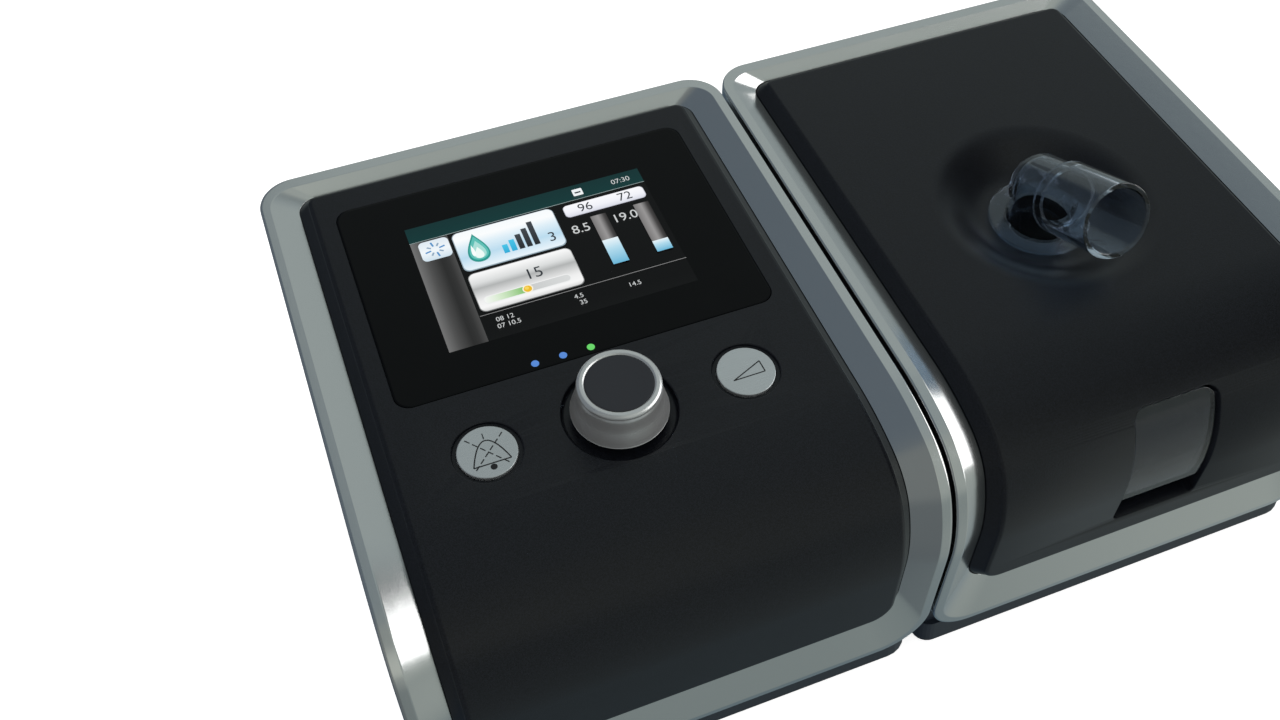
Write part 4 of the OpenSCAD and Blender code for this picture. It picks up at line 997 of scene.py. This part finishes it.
def draw_picture(art, width, length):
    """The screen: status strip, level card, timer card, two gauges and rows of plain numbers."""
    ink, soft = (44, 50, 56), (205, 208, 208)
    art.panel(0, 0, width, length, 0.01, [(0, (2, 2, 3)), (1, (2, 2, 3))])
    art.panel(0, 43, width, length, 0.01, [(0, (5, 52, 52)), (1, (6, 46, 47))])
    art.line([(0, 42.95), (width, 42.95)], 0.16, (160, 178, 178))
    art.panel(0.05, 0, 11.2, 42.8, 0.01, [(0, 112), (0.3, 74), (0.62, 38), (0.8, 44), (1, 72)], across=True)
    # sun tile
    tile = [(0, (206, 224, 236)), (0.45, (240, 246, 250)), (1, (222, 232, 240))]
    art.panel(2.1, 34.5, 11.0, 42.3, 1.5, tile)
    for k in range(8):
        a = math.radians(45 * k + 12)
        reaches = (1.3, 3.1 - 0.5 * (k % 2))
        ray = [(6.5 + reach * math.cos(a), 38.4 + reach * math.sin(a)) for reach in reaches]
        art.line(ray, 0.55, ((86, 146, 200), (140, 166, 190))[k % 2])
    # level card
    art.panel(12.1, 26.4, 43.3, 42.3, 2.0, [(0, (150, 170, 182)), (1, (170, 186, 196))])
    card = [(0, (232, 243, 250)), (0.33, (186, 219, 238)), (0.62, (222, 238, 247)), (0.8, (250, 252, 253)),
            (1, (246, 250, 252))]
    art.panel(12.35, 26.8, 43.1, 42.15, 1.9, card)
    drops = ((1.0, 0, 0, (38, 150, 140)), (0.84, 0.05, 0.35, (92, 190, 180)),
             (0.62, 0.1, 0.2, (168, 222, 214)), (0.4, 0.0, -0.5, (238, 250, 246)))
    for size, dx, dy, rgb in drops:
        art.outline(drop_shape(18.1 + dx, 28.9 + dy + (1 - size) * 3.2, 7.0 * size, 11.6 * size), rgb)
    art.outline(drop_shape(16.6, 31.6, 1.2, 4.6), (250, 253, 252))
    for k, height in enumerate((3.4, 4.6, 6.0, 7.6, 9.6)):
        x = 25.0 + 2.32 * k
        top, foot = ((70, 196, 232), (44, 170, 214)) if k < 2 else ((62, 68, 74), (34, 38, 43))
        art.panel(x, 29.5, x + 1.65, 29.5 + height, 0.01, [(0, foot), (1, top)])
    art.digits("3", 38.6, 29.2, 5.2, ink)
    # timer card
    art.panel(12.2, 10.1, 43.2, 25.2, 2.0, [(0, (120, 122, 122)), (1, (178, 180, 180))])
    card = [(0, 214), (0.1, 246), (0.28, 238), (0.6, (176, 178, 178)), (0.72, (216, 218, 218)), (1, 250)]
    art.panel(12.4, 10.4, 43.0, 25.0, 1.9, card)
    art.digits("15", 27.6, 17.4, 5.6, ink)
    art.panel(14.0, 12.6, 40.0, 15.6, 1.48, [(0, (236, 238, 238)), (1, (240, 240, 240))])
    slider = [(0, (244, 246, 244)), (0.18, (214, 234, 204)), (0.5, (108, 186, 78)),
              (0.505, (200, 202, 202)), (1, (216, 218, 218))]
    art.panel(14.3, 12.9, 39.7, 15.3, 1.18, slider, across=True)
    art.disc(27.0, 14.1, 1.55, (250, 244, 222))
    art.disc(27.0, 14.1, 1.2, (236, 186, 40))
    art.disc(26.8, 14.4, 0.6, (248, 214, 92))
    # pill with two readings
    art.panel(46.3, 36.2, 71.9, 41.2, 1.4, [(0, (190, 192, 204)), (1, (206, 208, 216))])
    pill = [(0, (218, 220, 232)), (0.4, (240, 241, 248)), (1, (250, 250, 253))]
    art.panel(46.5, 36.4, 71.7, 41.1, 1.3, pill)
    art.digits("96", 50.6, 37.3, 4.6, ink)
    art.digits("72", 63.2, 37.3, 4.6, ink)
    # gauges
    tube = [(0, (118, 116, 116)), (0.45, (150, 148, 148)), (0.8, (70, 68, 68)), (1, (40, 38, 38))]
    water = [(0, (104, 182, 216)), (0.6, (176, 218, 236)), (1, (232, 243, 248))]
    for left, reading, level in ((52.9, "8.5", 23.9), (66.5, "19.0", 18.4)):
        art.digits(reading, left - (7.9 if len(reading) > 3 else 6.9), 29.3, 4.7, soft)
        art.panel(left, 14.0, left + 4.85, 34.3, 0.01, tube, across=True)
        art.panel(left, 14.0, left + 4.85, level, 0.01, water)
    art.line([(11.4, 9.0), (width, 9.0)], 0.16, (150, 150, 150))
    rows = (("08 12", 15.2, 5.5), ("07 10.5", 14.9, 3.0), ("4.5", 38.2, 5.5), ("35", 39.0, 3.0),
            ("14.5", 54.0, 4.2))
    for text, x, y in rows:
        art.digits(text, x, y, 2.3, soft)
    art.digits("07:30", 63.6, 44.6, 2.7, soft)
    white = (240, 244, 246)
    art.panel(51.2, 43.9, 54.3, 46.7, 0.3, [(0, white), (1, white)])
    art.panel(51.8, 44.9, 53.7, 45.5, 0.01, [(0, ink), (1, ink)])


def drop_shape(x, y, width, height, steps=44):
    """Drop with its tip up: half width sin(a) * sin(a / 2)^1.4 and height (1 + cos a) / 2."""
    a = np.linspace(0, 2 * math.pi, steps, endpoint=False)
    bulge = np.sin(a) * np.abs(np.sin(a / 2)) ** 1.4
    shape = np.stack([x + width / 2 * bulge / 0.77, y + height * (1 + np.cos(a)) / 2], -1)
    return shape[::-1] * MM


class MACHINE_OT_controls(Operator):
    """Knob with its dark cap, and the two buttons with their signs"""

    bl_idname = "machine.controls"
    bl_label = "Knob and buttons"

    def execute(self, context):
        s = settings()
        co = s.controls
        r, top, h, cap = co.knob_radius, co.knob_top, co.knob_height, co.knob_cap
        edge = 0.05 * MM
        bore, foot, seat = 3.1 * MM, co.knob_foot, h - 1.6 * MM
        skirt = profile(
            (bore, foot, 0), (r - 0.5 * MM, foot, 0.3 * MM), (r, foot + 0.5 * MM, 0.3 * MM),
            (r - 0.15 * MM, h * 0.13, MM), (r - 0.75 * MM, h * 0.33, MM), (r - 1.55 * MM, h * 0.55, MM),
            (top + 0.25 * MM, h * 0.8, 0.5 * MM), (top - 0.05 * MM, h * 0.865, 0.1 * MM),
            (top - 0.05 * MM, h * 0.885, 0.1 * MM), (top + 0.2 * MM, h * 0.915, 0.2 * MM),
            (top, h * 0.965, 0.3 * MM), (top - 0.6 * MM, h, 0.3 * MM), (cap + 0.55 * MM, h, 0.15 * MM),
            (cap + edge, h - 0.35 * MM, 0.15 * MM), (cap + edge, seat, 0), (bore, seat, 0),
        )
        knob = on_module("knob_skirt", MAIN_DECK, lathe(skirt, 160, ring=True))
        dress(knob, "knob", turned(s.colours.silver, MAIN_DECK), "button", ("knob_shell",), crease=40)

        disc = profile((0, seat, 0), (cap, seat, 0), (cap, h - 0.25 * MM, 0.12 * MM),
                       (cap - 0.5 * MM, h - 0.2 * MM, 0.3 * MM), (0, h - 0.38 * MM, 0))
        disc = on_module("knob_disc", MAIN_DECK, lathe(disc, 128))
        matt = moulded("matt cap", s.colours.cap, 0.55, 0.22, 0.01)
        dress(disc, "knob", matt, "knob_cap", ("knob_cap",))

        face, flange, pin = co.button_radius, co.button_radius + 1.2 * MM, 1.75 * MM
        outline = profile(
            (0, -6.3 * MM, 0), (pin, -6.3 * MM, 0.1 * MM), (pin, -4 * MM, 0), (flange, -4 * MM, 0.1 * MM),
            (flange, -3.2 * MM, 0.1 * MM), (face, -3.2 * MM, 0), (face, 0, 0.25 * MM), (0, 0, 0),
        )
        metal = brushed(s.colours.button)
        for name, x, draw in (("mute", -co.button_place, bell_sign), ("ramp", co.button_place, wedge_sign)):
            button = on_module(name + "_disc", MAIN_DECK, lathe(outline, 96, (x, 0)))
            dress(button, name, metal, "button", (name + "_button",), crease=40)
            sign = Drawing(MAIN_DECK, (x, 0), 0.015 * MM)
            draw(sign)
            ink = moulded(name + " ink", s.colours.sign, 0.5, 0.3, 0.002)
            dress(sign.piece(name + "_sign"), name, ink, "knob_cap")
        return {"FINISHED"}


def bell_sign(art):
    """Sign for silence: a bell with a parabola for its dome, crossed by dashes, a ray over it."""
    u = np.linspace(-5.0, 5.0, 41)
    dome = np.stack([u + 0.35, 3.5 - 7.3 * (u / 5.0) ** 2], -1)
    art.line(dome, 0.36, SIGN_INK)
    art.line([dome[0], dome[-1]], 0.36, SIGN_INK)
    art.disc(0.35, -5.0, 0.9, SIGN_INK, 24)
    for path in dashed((-4.6, 5.3), (5.0, -5.6), 6) + dashed((5.3, 4.5), (-4.8, -5.2), 6):
        art.line(path, 0.3, SIGN_INK)
    art.line([(0.25, 4.0), (0.25, 5.8)], 0.26, SIGN_INK)


def wedge_sign(art):
    """Sign for a slow rise: a thin wedge in outline."""
    corners = [(-4.4, -1.9), (4.8, -1.85), (4.65, 1.9), (-4.4, -1.9)]
    for a, b in zip(corners, corners[1:]):
        art.line([a, b], 0.34, SIGN_INK)


class MACHINE_OT_lid(Operator):
    """Black lid with its round dish, window opening and hinge slots, and the clear window"""

    bl_idname = "machine.lid"
    bl_label = "Lid and window"

    def execute(self, context):
        s = settings()
        li = s.lid
        line = SideLine(s.line)
        plate = field_plate(s, "humidifier_frame", s.field.lid_gap, s.field.lid_rise, line)
        lid = on_module("lid_shell", LID_DECK, plate)
        place = (0, li.elbow_place)
        under = -s.frames.thickness
        r = np.linspace(li.seat_radius, li.dish_radius - 0.05 * MM, 40)
        dish = np.stack([r, dish_height(li, r)], -1)
        deep = dish[dish[:, 1] - li.bowl < under - 0.2 * MM] + (MM, -li.bowl)
        rim = li.dish_radius - 3 * MM
        bowl = np.concatenate([[[0, -li.dish_depth - li.bowl]], deep, [[rim, under + MM], [0, under + MM]]])
        combine(lid, [on_module("bowl", LID_DECK, lathe(bowl, 128, place))], "UNION")

        dish[0, 1] = -li.dish_depth
        cup = np.concatenate([[[0, -li.dish_depth]], dish, [[li.dish_radius - 0.05 * MM, MM], [0, MM]]])
        low = -li.dish_depth - li.bowl - MM
        shapes = [lathe(cup, 200, place), cylinder(li.bore, low, -MM, 96, place)]
        cut_end = li.window_start + li.window_length + li.finger_gap
        flare = ((0, -under + MM), (0, 0.35 * MM), (0.12 * MM, 0.12 * MM), (0.35 * MM, 0), (0.35 * MM, -MM))
        opening = [(li.window_half + x, li.window_start - x, cut_end + x, 4.5 * MM, 2 * MM, depth)
                   for x, depth in flare]
        steps = line.stations(li.window_start + 4.9 * MM, cut_end - 2.4 * MM)
        shapes.append(wrapped_plate(line, opening, steps))
        front, back, high = li.hinge_place - 6 * MM, li.hinge_place + 3.2 * MM, -li.hinge_depth + 0.9 * MM
        for x in (-li.lug_place, li.lug_place):
            shapes.append(block(x - li.lug_slot, x + li.lug_slot, front, back, under - MM, high))
        combine(lid, [on_module("cut", LID_DECK, shape) for shape in shapes])
        dress(lid, "lid", satin_black(s.colours.black, "satin black lid"), "panel", ("lid_panel",))

        a, t0 = li.window_half - 0.9 * MM, li.window_start + 0.5 * MM
        t1 = li.window_start + li.window_length
        high = 1.1 * MM
        low = high + li.window_wall
        edge = profile((a, t0, t1, 4 * MM, MM, low, 0), (a, t0, t1, 4 * MM, MM, high, 0.3 * MM),
                       (a - 1.5 * MM, t0 + 1.5 * MM, t1 - 1.5 * MM, 2.5 * MM, 0.4 * MM, high, 0))
        foot = (a - 0.3 * MM, t0 + 0.3 * MM, t1 - 0.3 * MM, 3.7 * MM, 0.7 * MM, low)
        stations = line.stations(t0 + 4.2 * MM, t1 - 1.7 * MM)
        window = on_module("lid_window", LID_DECK, wrapped_plate(line, [foot, *edge], stations))
        glass = clear_plastic(tone(s.colours.clear, 0.7), "clear window", 0.04)
        dress(window, "lid", glass, "clear", ("water_window",), crease=40)
        return {"FINISHED"}


def dish_height(sizes, r):
    """Dish: flat to the seat, then -depth * (1 + cos(pi * (r - seat) / (rim - seat))) / 2."""
    share = (r - sizes.seat_radius) / (sizes.dish_radius - sizes.seat_radius)
    return -sizes.dish_depth * (0.5 + 0.5 * np.cos(math.pi * np.clip(share, 0, 1)))


class MACHINE_OT_elbow(Operator):
    """Clear swivel elbow: stem, tube with a rounded closed end, wider sleeve and flange"""

    bl_idname = "machine.elbow"
    bl_label = "Elbow"

    def execute(self, context):
        s = settings()
        e, li = s.elbow, s.lid
        pivot = np.array([0, li.elbow_place, e.height])
        sin, cos = math.sin(e.rise), math.cos(e.rise)
        lean = np.array([[1, 0, 0], [0, sin, cos], [0, -cos, sin]])

        def along_tube(name, outline):
            """Lathe about the tube's axis, which runs forward and up from the pivot."""
            points, faces = lathe(outline, 112)
            return make_piece(name, on_deck(LID_DECK, points @ lean + pivot), faces)

        def upright(name, outline):
            """Lathe about the swivel axis."""
            return on_module(name, LID_DECK, lathe(outline, 112, (0, li.elbow_place)))

        def rod(back, edge, radius, end):
            """Rod with a rounded closed end: a quarter turn of the edge radius."""
            sin, cos = quarter_turn(12)
            turn = np.stack([radius - edge + edge * sin, -back + edge - edge * cos], -1)
            return np.concatenate([[[0, -back]], turn, [[radius, end], [0, end]]])

        low, top = -li.dish_depth + 0.05 * MM, -li.dish_depth + e.flange
        step, chamfer, w = e.reach - e.sleeve, 0.3 * MM, e.wall
        body = upright("swivel_elbow", profile(
            (0, low, 0), (e.flange_radius, low, 0.35 * MM), (e.flange_radius, top, 0.45 * MM), (0, top, 0)))
        r = e.socket_radius
        stem = [(0, -e.stem), (r - chamfer, -e.stem), (r, -e.stem + chamfer), (r, top + 0.4 * MM),
                (e.tube_radius, e.height), (0, e.height)]
        tube = rod(e.back, e.back_edge, e.tube_radius, e.reach - MM)
        r = e.sleeve_radius
        sleeve = profile((0, step, 0), (r, step, 0.5 * MM), (r, e.reach, 0.35 * MM), (0, e.reach, 0))
        tools = [upright("stem", stem), along_tube("tube", tube), along_tube("sleeve", sleeve)]
        combine(body, tools, "UNION")
        low, r = -e.stem - MM, e.socket_radius - w
        bore = [(0, low), (r, low), (r, top), (e.tube_radius - w, e.height), (0, e.height)]
        hollow = rod(e.back - w, e.back_edge - w, e.tube_radius - w, step + 2 * w)
        low, r = step + w, e.sleeve_radius - w
        inner = [(0, low), (r - chamfer, low), (r, low + chamfer), (r, e.reach - chamfer),
                 (r + chamfer, e.reach), (r + chamfer, e.reach + MM), (0, e.reach + MM)]
        combine(body, [upright("bore", bore), along_tube("hollow", hollow), along_tube("inner", inner)])
        dress(body, "elbow", clear_plastic(s.colours.clear), "clear", ("elbow",), crease=32)
        return {"FINISHED"}


class MACHINE_OT_finishes(Operator):
    """Finishes of the CAD nodes that show as they are"""

    bl_idname = "machine.finishes"
    bl_label = "Finishes"

    def execute(self, context):
        c = settings().colours
        finishes = {
            "case": moulded("case plastic", c.case, 0.42, 0.4, 0.02),
            "frame": satin_silver(c.silver),
            "panel": satin_black(c.black, "panel plastic"),
            "lens": gloss_black(c.lens),
            "display": moulded("display back", linear(120, 128, 130), 0.4, 0.6, 0.004, metallic=0.9),
            "board": solder_mask(linear(22, 98, 52)),
            "button": brushed(c.button, "button metal"),
            "knob_cap": moulded("cap plastic", c.cap, 0.55, 0.25, 0.01),
            "light": moulded("light guide", linear(190, 205, 225), 0.25, 0.5, 0.004),
            "steel": brushed(linear(196, 198, 202), "plain steel", 0.28),
            "heater": brushed(linear(212, 212, 214), "heater plate", 0.36),
            "element": moulded("heater film", linear(190, 112, 44), 0.38, 0.8, 0.03, coat=0.3),
            "white": moulded("pale liner", linear(206, 209, 210), 0.45, 0.4, 0.012),
            "black": moulded("black plastic", linear(28, 29, 31), 0.48, 0.4, 0.015),
            "rubber": moulded("foot rubber", linear(30, 30, 32), 0.82, 0.5, 0.03),
            "filter": fibre_pad(linear(206, 218, 228)),
            "card": moulded("card shell", linear(38, 52, 108), 0.4, 0.3, 0.01),
            "contact": brushed(linear(214, 178, 92), "plated contact", 0.24),
            "clear": clear_plastic(c.clear, "clear tub", 0.05),
        }
        for part in frame["record"]["subparts"]:
            node = frame["nodes"][part["node"]]
            for slot in node.material_slots:
                slot.material = finishes[part["material_slot"]]
            if part["material_slot"] not in ("panel", "lens", "case"):
                bright_pieces().objects.link(node)
        return {"FINISHED"}


# --- Studio ---------------------------------------------------------------------


class MACHINE_OT_stage(Operator):
    """Camera, pale floor, soft lamp and the even light round the object"""

    bl_idname = "machine.stage"
    bl_label = "Studio"

    def execute(self, context):
        st = settings().studio
        scene = context.scene
        scene.view_settings.view_transform = "Standard"

        lens = bpy.data.cameras.new("photo_camera")
        lens.lens, lens.sensor_width, lens.clip_start = st.focal, 36, 0.01
        scene.camera = new_object("photo_camera", lens)
        set_up(scene.camera, np.array(st.camera_right), -np.array(st.camera_forward), st.camera_place)

        half = st.floor_size / 2
        points = [(x * half, y * half, 0) for y in (-1, 1) for x in (-1, 1)]
        floor = new_object("floor", bpy.data.meshes.new("floor"))
        floor.data.from_pydata(points, [], [(0, 1, 3, 2)])
        floor.data.materials.append(floor_finish())
        floor.visible_glossy = False

        lamp = bpy.data.lights.new("soft_lamp", "AREA")
        lamp.shape, lamp.size, lamp.size_y = "RECTANGLE", st.lamp_width, st.lamp_height
        lamp.energy = st.lamp_glow * math.pi * st.lamp_width * st.lamp_height
        source = new_object("soft_lamp", lamp)
        away = direction(st.lamp_azimuth, st.lamp_rise)
        side = np.cross((0, 0, 1), away)
        set_up(source, side / np.linalg.norm(side), away, away * st.lamp_distance + (0, 0, 0.05))
        source.light_linking.receiver_collection = bright_pieces()

        if scene.world is None:
            scene.world = bpy.data.worlds.new("studio")
        studio_world(scene.world, st)
        return {"FINISHED"}


def set_up(thing, right, back, place):
    """Sets a camera or lamp at a place, its x axis to the right and its z axis against its view."""
    axes = np.eye(4)
    axes[:3, :4] = np.stack([right, np.cross(back, right), back, place], -1)
    thing.matrix_world = Matrix(axes.tolist())


def bright_pieces():
    """The pieces that the soft lamp is meant for, added to as they are made."""
    name = "lamp receivers"
    return bpy.data.collections.get(name) or bpy.data.collections.new(name)


def floor_finish():
    """Pale floor that shows almost white to the camera and catches the shadow."""
    finish = Finish("pale floor")
    path = finish.node("LightPath")
    lit = finish.node("BsdfDiffuse", {"Color": (0.8, 0.8, 0.79, 1)})["BSDF"]
    strength = path["Is Camera Ray"] * 0.8
    seen = finish.node("Emission", {"Color": (1, 1, 1, 1), "Strength": strength})
    shader = finish.node("AddShader", {0: lit, 1: seen["Emission"]})["Shader"]
    finish.node("OutputMaterial", {"Surface": shader})
    return finish.owner


def direction(azimuth, rise):
    """Unit vector from an azimuth, clockwise from the back, and a height over the horizon."""
    level = math.cos(rise)
    return np.array([math.sin(azimuth) * level, math.cos(azimuth) * level, math.sin(rise)])


def studio_world(world, studio):
    """Even light for matt surfaces, a soft grey studio for reflections, white to the camera.

    The studio in direction d is dim blue on the left and steps up to grey on the right and to a
    warmer grey in front. Round cards with soft edges, ramp(d . card), add to it or take from it.
    """
    finish = Finish("studio", world)
    path = finish.node("LightPath")
    way = finish.node("TexCoord")["Generated"]
    parts = finish.node("SeparateXYZ", {"Vector": way})
    x, y, z = parts["X"], parts["Y"], parts["Z"]

    def card(azimuth, rise, outer, inner):
        """1 inside a cone about a direction and 0 outside, all angles in degrees."""
        centre = direction(math.radians(azimuth), math.radians(rise))
        aim = finish.vector("DOT_PRODUCT", way, tuple(centre))
        return finish.ramp(aim, math.cos(math.radians(outer)), math.cos(math.radians(inner)))

    right = finish.ramp(x, -0.11, 0.02)
    front = finish.ramp(0.0 - y, 0.12, 0.45)
    strip = finish.ramp(0.0 - y, 0.6, 0.95) * finish.ramp(z, 0.0, 0.2) * finish.ramp(z, 0.85, 0.55)
    strip = strip * finish.ramp(x, -0.27, -0.09) * (1.0 - finish.ramp(x, -0.03, 0.06))
    below = finish.ramp(0.0 - z, 0.0, 0.3) * 0.115 + finish.ramp(0.0 - z, 0.6, 1.0) * 0.06
    below = below * (right * 0.6 + 0.4)
    extra = strip * 0.26 + card(104, -28, 45, 20) * 0.12 + card(28, 40, 36, 12) * 0.06 - below
    azimuth, rise = math.degrees(studio.lamp_azimuth), math.degrees(studio.lamp_rise) + 5
    behind_lamp = 1.0 - card(azimuth, rise, 37, 20) * 0.85
    tones = ((0.112, 0.179, 0.066, 1.0), (0.140, 0.199, 0.057, 1.0), (0.167, 0.178, 0.032, 0.86))
    channels = [(base + right * step + front * warm + extra * tint) * behind_lamp
                for base, step, warm, tint in tones]
    grey = finish.node("CombineColor", dict(zip(("Red", "Green", "Blue"), channels)))["Color"]
    seen = path["Is Glossy Ray"] + path["Is Transmission Ray"]
    lit = finish.mix(seen, (studio.fill,) * 3, grey)
    white = finish.mix(path["Is Camera Ray"], lit, (1, 1, 1))
    light = finish.node("Background", {"Color": white, "Strength": 1.0})
    finish.node("OutputWorld", {"Surface": light["Background"]})


class MACHINE_PT_panel(Panel):
    """Buttons for every group of pieces"""

    bl_idname = "MACHINE_PT_panel"
    bl_label = "Breathing machine"
    bl_space_type = "VIEW_3D"
    bl_region_type = "UI"
    bl_category = "Machine"

    def draw(self, context):
        for step in STEPS:
            self.layout.operator(step.bl_idname)


STEPS = (
    MACHINE_OT_stage, MACHINE_OT_frames, MACHINE_OT_fascia, MACHINE_OT_screen, MACHINE_OT_controls,
    MACHINE_OT_lid, MACHINE_OT_elbow, MACHINE_OT_finishes,
)
GROUPS = (
    SideLineSizes, FrameSizes, FieldSizes, ScreenSizes, ControlSizes, LidSizes, ElbowSizes,
    FinishColours, StudioSettings, MachineSettings,
)


def register():
    """Registers the settings, the operators and the panel."""
    for item in (*GROUPS, *STEPS, MACHINE_PT_panel):
        bpy.utils.register_class(item)
    bpy.types.Scene.breathing_machine = PointerProperty(type=MachineSettings)


def unregister():
    """Removes what register added."""
    del bpy.types.Scene.breathing_machine
    for item in reversed((*GROUPS, *STEPS, MACHINE_PT_panel)):
        bpy.utils.unregister_class(item)


def main():
    """Builds every piece in order."""
    register()
    for step in ("stage", "frames", "fascia", "screen", "controls", "lid", "elbow", "finishes"):
        getattr(bpy.ops.machine, step)()


if __name__ == "__main__":
    main()
